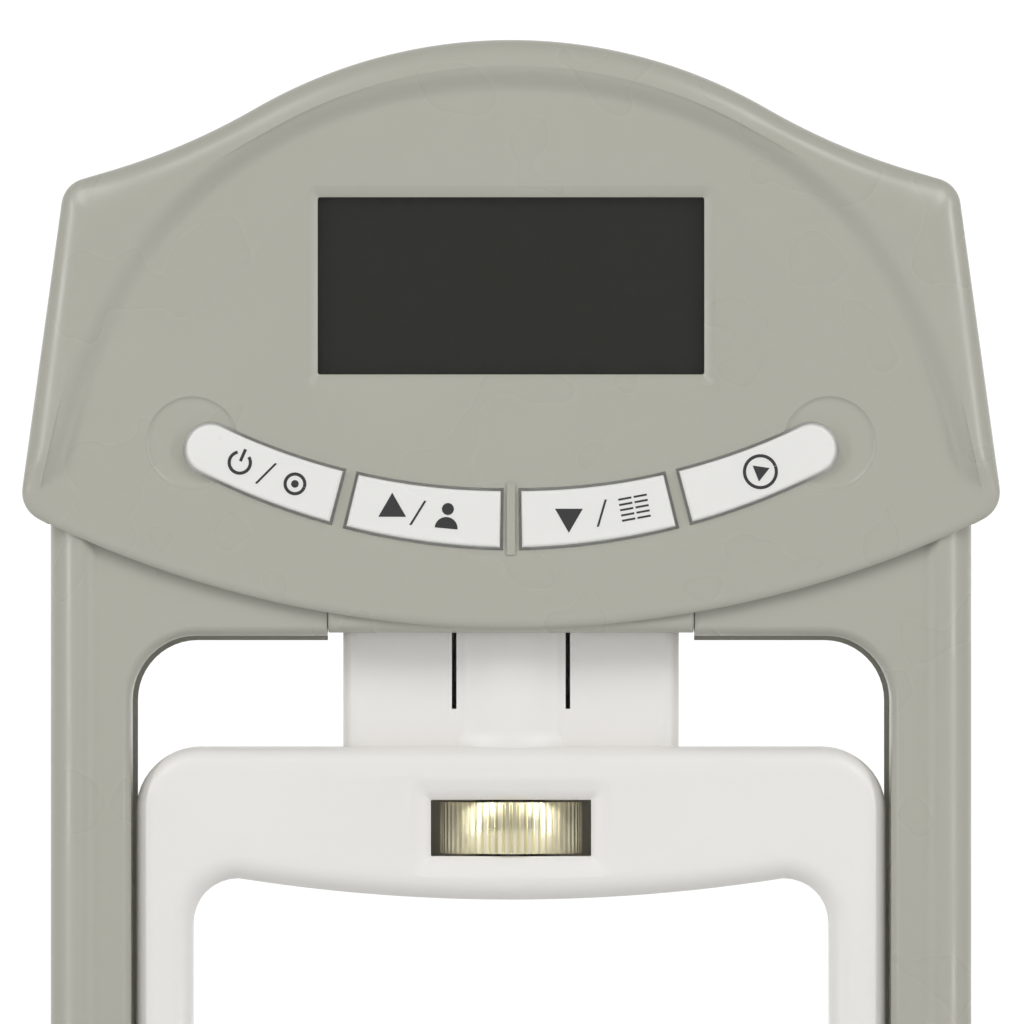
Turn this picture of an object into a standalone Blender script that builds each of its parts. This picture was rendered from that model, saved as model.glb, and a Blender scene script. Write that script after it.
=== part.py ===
"""Electronic hand dynamometer.

A ring-shaped frame carries a display head, and a finger grip slides inside it. A knurled wheel and
its screw set the grip's height and hang it from a load cell in the head.

Metres, +Z up. The display faces -Y. The palm bar's flat underside stands on z = 0, and the origin
is at the bottom centre of the whole object.
"""

import math

import bmesh
import bpy
from mathutils import Vector

MM = 0.001
GAP = 0.3 * MM
FAR = 40 * MM

# Head: a dome over two sloping shoulders, closed below by a long shallow arc.
HEAD_TOP = 195 * MM
HEAD_HALF_DEPTH = 15.5 * MM
HEAD_EDGE = 3 * MM
HEAD_WALL = 2.5 * MM
SKIN = 2 * MM
DOME_RADIUS = 67 * MM
DOME_SWEEP = 30
SHOULDER_RADIUS = 88 * MM
SHOULDER_SWEEP = 14
SHOULDER_TIP = (58.5 * MM, 176.1 * MM)
SHOULDER_ROUND = 3.8 * MM
WING_TIP = (64.4 * MM, 133.6 * MM)
WING_ROUND = 4 * MM
CHIN_BOTTOM = 117.9 * MM
CHIN_RADIUS = 140.8 * MM
FACE_CENTRE_Z = 136 * MM
FACE_HALF_WIDTH = 59.5 * MM
FACE_HALF_HEIGHT = 51.8 * MM
FACE_RECESS = 0.7 * MM

# Display and keys.
LCD_HALF_WIDTH = 25.3 * MM
LCD_BOTTOM = 151.2 * MM
LCD_TOP = 174.4 * MM
KEY_CENTRE_Z = 220.9 * MM
KEY_RADIUS = 88.65 * MM
KEY_HALF_HEIGHT = 3.7 * MM
KEY_END_HALF_HEIGHT = 3.2 * MM
KEY_GAP = 0.4 * MM
KEY_INNER = (0.9, 13.53)
KEY_OUTER = (14.95, 26.3)
KEY_FRONT = -15.4 * MM
KEY_BACK = -12.1 * MM
KEY_FLANGE = 0.6 * MM

# Frame: a ring of square-shouldered rails, split in a front and a rear half.
FRAME_HALF_WIDTH = 60.3 * MM
FRAME_HALF_DEPTH = 12.5 * MM
FRAME_EDGE = 2.5 * MM
FRAME_CORNER = 20 * MM
BAY_HALF_WIDTH = 49.7 * MM
BAY_BOTTOM = 23 * MM
BAY_TOP = 117 * MM
BAY_TOP_CORNER = 8.5 * MM
BAY_BOTTOM_CORNER = 10 * MM
WEB_HEIGHT = 7 * MM
DECK_HALF_WIDTH = 55 * MM
DECK_TOP = 162.4 * MM
BUSH_HALF_WIDTH = 24 * MM
BUSH_BOTTOM = 117.4 * MM
BUSH_TOP = 124.5 * MM

# Grip: a ring with a finger window, a knob window and a guide that runs up into the head.
GRIP_HALF_WIDTH = 49.1 * MM
GRIP_HALF_DEPTH = 10 * MM
GRIP_EDGE = 2.6 * MM
GRIP_BOTTOM = 35 * MM
GRIP_TOP = 102.4 * MM
GRIP_CORNER = 8.3 * MM
WINDOW_HALF_WIDTH = 41.7 * MM
WINDOW_BOTTOM = 53 * MM
WINDOW_TOP = 85.2 * MM
WINDOW_DIP = 2.8 * MM
WINDOW_CORNER = 6 * MM
GUIDE_HALF_WIDTH = 22 * MM
GUIDE_HALF_DEPTH = 5.5 * MM
GUIDE_TOP = 135 * MM
TONGUE_RADIUS = 7.15 * MM
TONGUE_BOTTOM = 97 * MM
TONGUE_TOP = 129.5 * MM
SLIT_BOTTOM = 107.4 * MM
SLIT_WIDTH = 0.6 * MM
CHANNEL_FLOOR = 104 * MM
CHANNEL_HALF_DEPTH = 5.3 * MM
GRIP_CORE_HALF_WIDTH = 15 * MM

# Adjusting wheel and screw, turning together on the centre line.
KNOB_WINDOW_HALF_WIDTH = 10.5 * MM
KNOB_WINDOW_BOTTOM = 88.1 * MM
KNOB_WINDOW_TOP = 95.5 * MM
KNOB_WINDOW_REAR_HALF_WIDTH = 7.6 * MM
KNOB_POCKET_DEPTH = 8.2 * MM
KNOB_RADIUS = 9.35 * MM
SCREW_RADIUS = 3 * MM
JOURNAL_RADIUS = 2 * MM
JOURNAL_BOTTOM = 85.8 * MM
SCREW_TOP = 135.7 * MM
WASHER_RADIUS = 5 * MM
WASHER_THICKNESS = 0.8 * MM

# Load path inside the head: nut, yoke and bending-beam load cell.
YOKE_HALF_WIDTH = 6.2 * MM
YOKE_HALF_DEPTH = 4 * MM
YOKE_BOTTOM = 118.2 * MM
YOKE_TOP = 150.2 * MM
YOKE_WALL = 1.2 * MM
YOKE_HEAD = 1.9 * MM
NUT_HEIGHT = 6.2 * MM
CELL_LEFT = -38 * MM
CELL_RIGHT = 8 * MM
CELL_SIZE = 10 * MM
CELL_BOTTOM = YOKE_TOP + GAP

# Batteries (two cells of 10.2 x 44.5 mm), their tray and door at the head's back.
BATTERY_RADIUS = 5.1 * MM
BATTERY_BODY = 43.7 * MM
BATTERY_NUB = 0.8 * MM
BATTERY_NUB_RADIUS = 1.9 * MM
BATTERY_Y = 8.4 * MM
BATTERY_PITCH = 10.7 * MM
BATTERY_LOW_Z = 169.2 * MM
BATTERY_TIP = 23.9 * MM
TRAY_HALF_WIDTH = 28 * MM
TRAY_BOTTOM = 163 * MM
TRAY_TOP = 186.4 * MM
TRAY_FRONT = 2.2 * MM
TRAY_WALL = 0.8 * MM
DOOR_HALF_WIDTH = 25.7 * MM
DOOR_BOTTOM = 163.9 * MM
DOOR_TOP = 185.3 * MM
DOOR_THICKNESS = 1.8 * MM
DOOR_AXIS = (0.0, HEAD_HALF_DEPTH, DOOR_BOTTOM - GAP)

# Electronics behind the face.
PCB_HALF_WIDTH = 43 * MM
PCB_TOP = 178 * MM
PCB_FRONT = -9 * MM
PCB_BACK = -7.5 * MM
PCB_CHIN = 125 * MM
PCB_CHIN_RADIUS = 90 * MM

# Places of the fasteners, as x and z on the face they enter.
HEAD_SCREW_SEAT = 13.7 * MM
FRAME_SCREW_SEAT = 11 * MM
GRIP_SCREW_SEAT = 8.4 * MM
HEAD_SCREWS = ((48 * MM, 141 * MM), (46 * MM, 170 * MM))
FRAME_SCREWS = ((30 * MM, 11.5 * MM), (55 * MM, 98 * MM))
GRIP_SCREWS = ((36 * MM, 94 * MM), (38 * MM, 44 * MM))
CELL_SCREWS = (-34 * MM, -28 * MM)
PCB_SCREWS = (38.5 * MM, 160 * MM)

# Fasteners: head radius, head height, shank radius and length below the head.
HEAD_SCREW = (2.5 * MM, 1.2 * MM, 1.2 * MM, 22 * MM)
FRAME_SCREW = (2.5 * MM, 1.1 * MM, 1.2 * MM, 18 * MM)
GRIP_SCREW = (2.1 * MM, 1.1 * MM, MM, 14 * MM)
BOARD_SCREW = (2 * MM, MM, MM, 4.8 * MM)
YOKE_BOLT = (2.6 * MM, 1.6 * MM, 1.5 * MM, 12.1 * MM)
CELL_BOLT = (2.6 * MM, 1.6 * MM, 1.5 * MM, 14 * MM)

# Bores round the fasteners: a pilot holds its screw, a hole clears the shank, a seat clears the head.
COVER_PILOT = 1.55 * MM
COVER_HOLE = 1.7 * MM
COVER_SEAT = 2.9 * MM
GRIP_PILOT = 1.3 * MM
GRIP_HOLE = 1.5 * MM
GRIP_SEAT = 2.5 * MM
BOARD_PILOT = 1.3 * MM
BOLT_HOLE = 1.8 * MM

# Radii of the posts the fasteners stand in.
COVER_POST = 3 * MM
BACK_POST = 3.6 * MM
FRAME_POST = 3.4 * MM
GRIP_POST = 2.8 * MM
GRIP_SEAT_POST = 3.2 * MM
BOARD_POST = 2.4 * MM

MATERIALS = {
    "housing_plastic": ((0.43, 0.44, 0.38), 0.42, 0.0),
    "grip_plastic": ((0.78, 0.75, 0.71), 0.40, 0.0),
    "key_plastic": ((0.81, 0.81, 0.79), 0.35, 0.0),
    "inner_plastic": ((0.10, 0.10, 0.10), 0.50, 0.0),
    "lcd_lens": ((0.05, 0.05, 0.04), 0.12, 0.0),
    "lcd_glass": ((0.06, 0.06, 0.05), 0.25, 0.0),
    "circuit_board": ((0.03, 0.18, 0.07), 0.45, 0.0),
    "rubber": ((0.20, 0.20, 0.20), 0.75, 0.0),
    "brass": ((0.72, 0.60, 0.34), 0.25, 1.0),
    "steel": ((0.55, 0.55, 0.56), 0.30, 1.0),
    "plated_steel": ((0.75, 0.75, 0.74), 0.22, 1.0),
    "aluminium": ((0.77, 0.78, 0.78), 0.35, 1.0),
    "battery_wrap": ((0.06, 0.10, 0.16), 0.35, 0.0),
    "lead_sheath": ((0.55, 0.05, 0.04), 0.50, 0.0),
}


# ---------------------------------------------------------------- helpers


def new_collection(name):
    collection = bpy.data.collections.new(name)
    bpy.context.scene.collection.children.link(collection)
    return collection


def make_materials():
    made = {}
    for name, (colour, roughness, metallic) in MATERIALS.items():
        material = bpy.data.materials.new(name)
        material.use_nodes = True
        shader = material.node_tree.nodes["Principled BSDF"]
        shader.inputs["Base Color"].default_value = (*colour, 1.0)
        shader.inputs["Roughness"].default_value = roughness
        shader.inputs["Metallic"].default_value = metallic
        made[name] = material
    return made


def place(obj, collection):
    for other in list(obj.users_collection):
        other.objects.unlink(obj)
    collection.objects.link(obj)
    return obj


def part(obj, material):
    """File an object as a sub-part, with its material and smooth round faces."""
    place(obj, PARTS)
    obj.data.materials.clear()
    obj.data.materials.append(PAINT[material])
    obj.data.shade_smooth()
    obj.data.set_sharp_from_angle(angle=math.radians(35))
    return obj


def cutter(obj):
    place(obj, CUTTERS)
    obj.hide_render = True
    obj.display_type = "WIRE"
    return obj


def boolean(obj, other, operation):
    step = obj.modifiers.new(f"{operation.lower()} {other.name}", "BOOLEAN")
    step.operation = operation
    step.solver = "EXACT"
    step.object = cutter(other)


def cut(obj, *others):
    for other in others:
        boolean(obj, other, "DIFFERENCE")
    return obj


def fuse(obj, *others):
    for other in others:
        boolean(obj, other, "UNION")
    return obj


def arc(centre_x, centre_z, radius, start, end, steps):
    """Points on an arc from angle start to angle end, in degrees, both ends included."""
    points = []
    for index in range(steps + 1):
        angle = math.radians(start + (end - start) * index / steps)
        points.append((centre_x + radius * math.cos(angle), centre_z + radius * math.sin(angle)))
    return points


def rounded_corner(before, corner, after, radius, steps=4):
    """The arc that rounds a corner between two straight runs."""
    corner = Vector(corner)
    to_before = (Vector(before) - corner).normalized()
    to_after = (Vector(after) - corner).normalized()
    half_angle = to_before.angle(to_after) / 2
    centre = corner + (to_before + to_after).normalized() * radius / math.sin(half_angle)
    reach = radius / math.tan(half_angle)
    first = corner + to_before * reach - centre
    last = corner + to_after * reach - centre
    points = []
    for index in range(steps + 1):
        spoke = first.lerp(last, index / steps) if steps else first
        points.append(tuple(centre + spoke.normalized() * radius))
    return points


def rounded_rectangle(low, high, radii, steps=4):
    """A counter-clockwise rectangle; radii are for the corners from bottom left, in order."""
    corners = [(low[0], low[1]), (high[0], low[1]), (high[0], high[1]), (low[0], high[1])]
    points = []
    for index, corner in enumerate(corners):
        before = corners[index - 1]
        after = corners[(index + 1) % 4]
        points += rounded_corner(before, corner, after, radii[index], steps)
    return points


def mirrored(right_side):
    """Close an outline whose right half runs from the bottom centre to the top centre."""
    left_side = [(-x, z) for x, z in reversed(right_side) if x > MM / 100]
    return right_side + left_side


def inset(points, distance):
    """Move a counter-clockwise outline inwards by a distance."""
    moved = []
    count = len(points)
    for index, here in enumerate(points):
        here = Vector(here)
        arriving = (here - Vector(points[index - 1])).normalized()
        leaving = (Vector(points[(index + 1) % count]) - here).normalized()
        normal = Vector((-arriving.y - leaving.y, arriving.x + leaving.x)).normalized()
        stretch = max(normal.dot(Vector((-arriving.y, arriving.x))), 0.5)
        moved.append(tuple(here + normal * distance / stretch))
    return moved


def slab(name, outlines, front, back, edge=0.0, edge_steps=1):
    """Extrude closed x-z outlines along Y; the first is the outside and the rest are holes."""
    curve = bpy.data.curves.new(name, "CURVE")
    curve.dimensions = "2D"
    curve.fill_mode = "BOTH"
    curve.extrude = (back - front) / 2 - edge
    curve.bevel_depth = edge
    curve.bevel_resolution = edge_steps
    for order, outline in enumerate(outlines):
        points = inset(outline, edge if order == 0 else -edge)
        if order:
            points = points[::-1]
        spline = curve.splines.new("POLY")
        spline.points.add(len(points) - 1)
        for control, (x, z) in zip(spline.points, points):
            control.co = (x, z, 0, 1)
        spline.use_cyclic_u = True
    shape = bpy.data.objects.new(name, curve)
    shape.location.y = (front + back) / 2
    shape.rotation_euler.x = math.pi / 2
    return meshed(shape)


def meshed(shape):
    """Turn a curve object into a closed mesh object of the same name and place."""
    bpy.context.scene.collection.objects.link(shape)
    name = shape.name
    depsgraph = bpy.context.evaluated_depsgraph_get()
    mesh = bpy.data.meshes.new_from_object(shape.evaluated_get(depsgraph))
    welded = bmesh.new()
    welded.from_mesh(mesh)
    bmesh.ops.remove_doubles(welded, verts=welded.verts, dist=MM / 1000)
    bmesh.ops.recalc_face_normals(welded, faces=welded.faces)
    welded.to_mesh(mesh)
    welded.free()
    matrix = shape.matrix_world.copy()
    curve = shape.data
    bpy.data.objects.remove(shape)
    bpy.data.curves.remove(curve)
    obj = bpy.data.objects.new(name, mesh)
    obj.matrix_world = matrix
    return obj


def block(name, low, high):
    """A box between two corners."""
    mesh = bpy.data.meshes.new(name)
    box = bmesh.new()
    bmesh.ops.create_cube(box, size=1.0)
    size = Vector(high) - Vector(low)
    bmesh.ops.scale(box, vec=size, verts=box.verts)
    box.to_mesh(mesh)
    box.free()
    obj = bpy.data.objects.new(name, mesh)
    obj.location = (Vector(low) + Vector(high)) / 2
    return obj


def rod(name, radius, start, end, sides=16):
    """A cylinder between two points."""
    start = Vector(start)
    end = Vector(end)
    mesh = bpy.data.meshes.new(name)
    shape = bmesh.new()
    length = (end - start).length
    bmesh.ops.create_cone(
        shape, cap_ends=True, segments=sides, radius1=radius, radius2=radius, depth=length
    )
    shape.to_mesh(mesh)
    shape.free()
    obj = bpy.data.objects.new(name, mesh)
    obj.location = (start + end) / 2
    obj.rotation_euler = (end - start).to_track_quat("Z", "Y").to_euler()
    return obj


def turned(name, profile, base, direction, steps=16, ring=False):
    """Turn a radius-height profile, listed from the top down, about an axis through base."""
    mesh = bpy.data.meshes.new(name)
    edges = [(index, index + 1) for index in range(len(profile) - 1)]
    if ring:
        edges.append((len(profile) - 1, 0))
    mesh.from_pydata([(radius, 0, height) for radius, height in profile], edges, [])
    obj = bpy.data.objects.new(name, mesh)
    spin = obj.modifiers.new("turn", "SCREW")
    spin.steps = steps
    spin.render_steps = steps
    spin.use_merge_vertices = True
    spin.merge_threshold = MM / 100
    obj.location = base
    obj.rotation_euler = Vector(direction).to_track_quat("Z", "Y").to_euler()
    return obj


def tube(name, points, radius):
    """A round wire through a list of points, with closed ends."""
    curve = bpy.data.curves.new(name, "CURVE")
    curve.dimensions = "3D"
    curve.bevel_depth = radius
    curve.bevel_resolution = 1
    curve.use_fill_caps = True
    spline = curve.splines.new("POLY")
    spline.points.add(len(points) - 1)
    for control, point in zip(spline.points, points):
        control.co = (*point, 1)
    return meshed(bpy.data.objects.new(name, curve))


def both_sides(places):
    """The given right-hand places and their mirror images, as (label, x, z)."""
    found = []
    for order, (x, z) in enumerate(places, start=1):
        found.append((f"{order}_right", x, z))
        found.append((f"{order}_left", -x, z))
    return found


def fastener(name, size, base, direction):
    """A screw whose shank runs from base along direction, its head standing behind base."""
    head_radius, head_height, shank_radius, length = size
    profile = [
        (0, length),
        (shank_radius, length),
        (shank_radius, 0),
        (head_radius, 0),
        (head_radius * 0.8, -head_height),
        (0, -head_height),
    ]
    return part(turned(name, profile, base, direction, steps=10), "steel")


# ---------------------------------------------------------------- outlines


def head_outline():
    chin_z = CHIN_BOTTOM + CHIN_RADIUS
    chin_edge = math.degrees(math.asin((WING_TIP[0] - WING_ROUND) / CHIN_RADIUS))
    chin = arc(0, chin_z, CHIN_RADIUS, -90, -90 + chin_edge, 9)
    dome_z = HEAD_TOP - DOME_RADIUS
    bend = DOME_RADIUS + SHOULDER_RADIUS
    bend_x = bend * math.sin(math.radians(DOME_SWEEP))
    bend_z = dome_z + bend * math.cos(math.radians(DOME_SWEEP))
    bend_start = 270 - DOME_SWEEP
    shoulder = arc(bend_x, bend_z, SHOULDER_RADIUS, bend_start + SHOULDER_SWEEP, bend_start, 3)
    dome = arc(0, dome_z, DOME_RADIUS, 90 - DOME_SWEEP, 90, 7)
    wing = rounded_corner(chin[-1], WING_TIP, SHOULDER_TIP, WING_ROUND)
    tip = rounded_corner(WING_TIP, SHOULDER_TIP, shoulder[0], SHOULDER_ROUND)
    return mirrored(chin + wing + tip + shoulder + dome[1:])


def chin_line(raise_by, half_width, steps):
    """The head's lower arc, moved up, from one side to the other."""
    radius = CHIN_RADIUS - raise_by
    sweep = math.degrees(math.asin(half_width / radius))
    return arc(0, CHIN_BOTTOM + CHIN_RADIUS, radius, -90 + sweep, -90 - sweep, steps)


def face_outline():
    """The face inside the head's raised rim: half an ellipse above, the chin's arc below."""
    upper = []
    for x, z in arc(0, 0, 1, 0, 180, 20):
        upper.append((x * FACE_HALF_WIDTH, FACE_CENTRE_Z + z * FACE_HALF_HEIGHT))
    lower = chin_line(HEAD_EDGE + MM, FACE_HALF_WIDTH - 2.5 * MM, 10)
    return lower[::-1] + upper


def frame_front_outline():
    top = chin_line(WEB_HEIGHT, FRAME_HALF_WIDTH, 12)
    right = (FRAME_HALF_WIDTH, 0)
    left = (-FRAME_HALF_WIDTH, 0)
    bottom_left = rounded_corner(top[-1], left, right, FRAME_CORNER, 7)
    bottom_right = rounded_corner(left, right, top[0], FRAME_CORNER, 7)
    return bottom_left + bottom_right + top


def frame_rear_outline():
    step_z = chin_line(WEB_HEIGHT, FRAME_HALF_WIDTH, 1)[0][1]
    right = (FRAME_HALF_WIDTH, 0)
    left = (-FRAME_HALF_WIDTH, 0)
    shoulder = (FRAME_HALF_WIDTH, step_z)
    inner = (DECK_HALF_WIDTH, step_z + 4 * MM)
    top = (DECK_HALF_WIDTH, DECK_TOP)
    corner = rounded_corner(inner, top, (0, DECK_TOP), 3 * MM, 2)
    right_side = rounded_corner(left, right, shoulder, FRAME_CORNER, 7)
    return mirrored(right_side + [shoulder, inner] + corner)


def bay_outline():
    low = (-BAY_HALF_WIDTH, BAY_BOTTOM)
    high = (BAY_HALF_WIDTH, BAY_TOP)
    bottom = BAY_BOTTOM_CORNER
    top = BAY_TOP_CORNER
    return rounded_rectangle(low, high, (bottom, bottom, top, top))


def window_outline():
    """The finger window, whose upper edge dips in the middle."""
    dip_half_width = WINDOW_HALF_WIDTH - WINDOW_CORNER
    dip_radius = (dip_half_width**2 + WINDOW_DIP**2) / (2 * WINDOW_DIP)
    sweep = math.degrees(math.asin(dip_half_width / dip_radius))
    dip_z = WINDOW_TOP - WINDOW_DIP + dip_radius
    dip = arc(0, dip_z, dip_radius, -90 + sweep, -90 - sweep, 8)
    low = (-WINDOW_HALF_WIDTH, WINDOW_BOTTOM)
    high = (WINDOW_HALF_WIDTH, WINDOW_TOP)
    right = rounded_corner((high[0], low[1]), high, (0, high[1]), WINDOW_CORNER)
    left = rounded_corner((0, high[1]), (low[0], high[1]), low, WINDOW_CORNER)
    bottom_left = rounded_corner((low[0], high[1]), low, (0, low[1]), WINDOW_CORNER)
    bottom_right = rounded_corner(low, (high[0], low[1]), high, WINDOW_CORNER)
    return bottom_left + bottom_right + right[:-1] + dip + left[1:]


def key_outline(span, side, grow, rounded):
    """One key of the arc-shaped row, counter-clockwise; side is 1 on the right, -1 on the left."""
    first, last = span
    lean = math.degrees(grow / KEY_RADIUS)
    first -= lean
    if not rounded:
        last += lean

    def at(angle, offset):
        reach = KEY_RADIUS + offset
        turn = math.radians(angle)
        return (reach * math.sin(turn), KEY_CENTRE_Z - reach * math.cos(turn))

    def half_height(angle):
        taper = (KEY_HALF_HEIGHT - KEY_END_HALF_HEIGHT) * angle / KEY_OUTER[1]
        return KEY_HALF_HEIGHT - taper + grow

    steps = 4
    angles = [first + (last - first) * index / steps for index in range(steps + 1)]
    lower = [at(angle, half_height(angle)) for angle in angles]
    upper = [at(angle, -half_height(angle)) for angle in reversed(angles)]
    end = []
    if rounded:
        middle = at(last, 0)
        end = arc(*middle, half_height(last), last - 90, last + 90, 6)[1:-1]
    points = lower + end + upper
    if side < 0:
        points = [(-x, z) for x, z in reversed(points)]
    return points


def pcb_outline():
    sweep = math.degrees(math.asin(PCB_HALF_WIDTH / PCB_CHIN_RADIUS))
    chin = arc(0, PCB_CHIN + PCB_CHIN_RADIUS, PCB_CHIN_RADIUS, -90, -90 + sweep, 6)
    corner = (PCB_HALF_WIDTH, PCB_TOP)
    top = rounded_corner(chin[-1], corner, (0, PCB_TOP), 6 * MM)
    return mirrored(chin + top)


# ---------------------------------------------------------------- housing


def full_ring(name, outline, hole, half_depth, edge):
    return slab(name, [outline, hole], -half_depth, half_depth, edge)


def keep_half(obj, side):
    """Leave only the front (-1) or the rear (1) half of a piece, with a seam gap."""
    seam = side * GAP / 2
    ends = sorted((seam, -side * FAR))
    low = (-2 * FAR, ends[0], -FAR)
    high = (2 * FAR, ends[1], 6 * FAR)
    return cut(obj, block(f"{obj.name}_other_half", low, high))


def along_y(name, radius, x, z, front, back, sides=16):
    return rod(name, radius, (x, front, z), (x, back, z), sides)


def head_half(name, side):
    """One of the head's two covers, hollow, with room for the frame between them."""
    shell = slab(name, [head_outline()], -HEAD_HALF_DEPTH, HEAD_HALF_DEPTH, HEAD_EDGE)
    keep_half(shell, side)
    inner_front = -HEAD_HALF_DEPTH + HEAD_WALL
    inner_back = HEAD_HALF_DEPTH - SKIN
    cut(shell, slab(f"{name}_cavity", [inset(head_outline(), SKIN)], inner_front, inner_back))
    room = FRAME_HALF_WIDTH + GAP
    depth = FRAME_HALF_DEPTH + GAP
    low = (-room, -depth, CHIN_BOTTOM - 5 * MM)
    high = (room, depth, WING_TIP[1] + 3 * MM)
    cut(shell, block(f"{name}_frame_way", low, high))
    return shell


def head_cover():
    """Front cover: recessed face, display opening, key openings and screw posts."""
    cover = head_half("head_cover", -1)
    recess_back = -HEAD_HALF_DEPTH + FACE_RECESS
    cut(cover, slab("face_recess", [face_outline()], -FAR, recess_back))
    for label, x, z in both_sides(HEAD_SCREWS):
        post = along_y(f"cover_post_{label}", COVER_POST, x, z, -14 * MM, -GAP / 2, 10)
        fuse(cover, post)
        cut(cover, along_y(f"cover_pilot_{label}", COVER_PILOT, x, z, -10 * MM, FAR, 10))
    for label, x, z in both_sides((PCB_SCREWS,)):
        post = along_y(f"pcb_post_{label}", BOARD_POST, x, z, -14 * MM, PCB_FRONT - GAP, 10)
        fuse(cover, post)
        cut(cover, along_y(f"pcb_pilot_{label}", BOARD_PILOT, x, z, -12.6 * MM, FAR, 10))
    low = (-LCD_HALF_WIDTH, -FAR, LCD_BOTTOM)
    high = (LCD_HALF_WIDTH, -11 * MM, LCD_TOP)
    cut(cover, block("display_opening", low, high))
    for name, span, side, rounded in key_plan():
        opening = key_outline(span, side, KEY_GAP, rounded)
        cut(cover, slab(f"{name}_opening", [opening], -FAR, -11 * MM))
    return part(cover, "housing_plastic")


def head_back():
    """Rear cover: battery opening, screw posts and counterbores."""
    cover = head_half("head_back", 1)
    for label, x, z in both_sides(HEAD_SCREWS):
        inner = FRAME_HALF_DEPTH + GAP if z < DECK_TOP else 3 * MM
        fuse(cover, along_y(f"back_post_{label}", BACK_POST, x, z, inner, 14 * MM, 12))
        cut(cover, along_y(f"back_hole_{label}", COVER_HOLE, x, z, -FAR, FAR, 10))
        cut(cover, along_y(f"back_counterbore_{label}", COVER_SEAT, x, z, HEAD_SCREW_SEAT, FAR, 14))
    side = DOOR_HALF_WIDTH + GAP
    low = (-side, 13 * MM, DOOR_BOTTOM - GAP)
    high = (side, FAR, DOOR_TOP + GAP)
    cut(cover, block("battery_opening", low, high))
    return part(cover, "housing_plastic")


def frame_half(name, side, outline):
    frame = full_ring(name, outline, bay_outline(), FRAME_HALF_DEPTH, FRAME_EDGE)
    keep_half(frame, side)
    depth = FRAME_HALF_DEPTH - SKIN
    outside = inset(outline, SKIN)
    inside = inset(bay_outline(), -SKIN)
    cut(frame, full_ring(f"{name}_cavity", outside, inside, depth, 0))
    half = BUSH_HALF_WIDTH + GAP
    seat_top = BUSH_TOP + (GAP if side > 0 else WEB_HEIGHT)
    low = (-half, -FAR, BAY_TOP - 5 * MM)
    cut(frame, block(f"{name}_bush_seat", low, (half, FAR, seat_top)))
    for label, x, z in both_sides(FRAME_SCREWS):
        post = along_y(f"{name}_post_{label}", FRAME_POST, x, z, side * 11 * MM, side * GAP / 2, 12)
        fuse(frame, post)
    return frame


def frame_front():
    frame = frame_half("frame_front", -1, frame_front_outline())
    for label, x, z in both_sides(FRAME_SCREWS):
        cut(frame, along_y(f"front_pilot_{label}", COVER_PILOT, x, z, -8 * MM, FAR, 12))
    return part(frame, "housing_plastic")


def frame_rear():
    frame = frame_half("frame_rear", 1, frame_rear_outline())
    for label, x, z in both_sides(FRAME_SCREWS):
        cut(frame, along_y(f"rear_hole_{label}", COVER_HOLE, x, z, -FAR, FAR, 12))
        cut(frame, along_y(f"rear_counterbore_{label}", COVER_SEAT, x, z, FRAME_SCREW_SEAT, FAR, 16))
    notch_low = (CELL_LEFT - MM, -FAR, CELL_BOTTOM + CELL_SIZE - MM)
    notch_high = (CELL_RIGHT + MM, CELL_SIZE, DECK_TOP + MM)
    cut(frame, block("cell_notch", notch_low, notch_high))
    seat_low = (CELL_LEFT, CELL_SIZE / 2 + GAP, CELL_BOTTOM)
    seat_high = (CELL_SCREWS[1] + 3 * MM, FRAME_HALF_DEPTH - MM, CELL_BOTTOM + CELL_SIZE)
    fuse(frame, block("cell_seat", seat_low, seat_high))
    for x in CELL_SCREWS:
        hole_z = CELL_BOTTOM + CELL_SIZE / 2
        cut(frame, along_y(f"cell_pilot_{x:.3f}", BOLT_HOLE, x, hole_z, -FAR, 10 * MM, 12))
    x, z = HEAD_SCREWS[0]
    for side in (1, -1):
        cut(frame, along_y(f"deck_hole_{side}", COVER_HOLE, side * x, z, -FAR, FAR, 12))
    return part(frame, "housing_plastic")


def guide_bush():
    """Collar in the frame's upper web that the grip's guide slides through."""
    depth = FRAME_HALF_DEPTH - GAP
    low = (-BUSH_HALF_WIDTH, -depth, BUSH_BOTTOM)
    high = (BUSH_HALF_WIDTH, depth, BUSH_TOP)
    bush = block("guide_bush", low, high)
    half_width = GUIDE_HALF_WIDTH + GAP
    half_depth = GUIDE_HALF_DEPTH + GAP
    low = (-half_width, -half_depth, BUSH_BOTTOM - MM)
    high = (half_width, half_depth, BUSH_TOP + MM)
    cut(bush, block("guide_way", low, high))
    radius = TONGUE_RADIUS + GAP
    ends = ((0, 0, BUSH_BOTTOM - MM), (0, 0, BUSH_TOP + MM))
    cut(bush, rod("tongue_way", radius, *ends, 24))
    return part(bush, "housing_plastic")


def housing_screws():
    for label, x, z in both_sides(HEAD_SCREWS):
        base = (x, HEAD_SCREW_SEAT + GAP, z)
        fastener(f"head_screw_{label}", HEAD_SCREW, base, (0, -1, 0))
    for label, x, z in both_sides(FRAME_SCREWS):
        base = (x, FRAME_SCREW_SEAT + GAP, z)
        fastener(f"frame_screw_{label}", FRAME_SCREW, base, (0, -1, 0))


# ---------------------------------------------------------------- grip


def grip_outline():
    low = (-GRIP_HALF_WIDTH, GRIP_BOTTOM)
    high = (GRIP_HALF_WIDTH, GRIP_TOP)
    return rounded_rectangle(low, high, [GRIP_CORNER] * 4)


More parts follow.
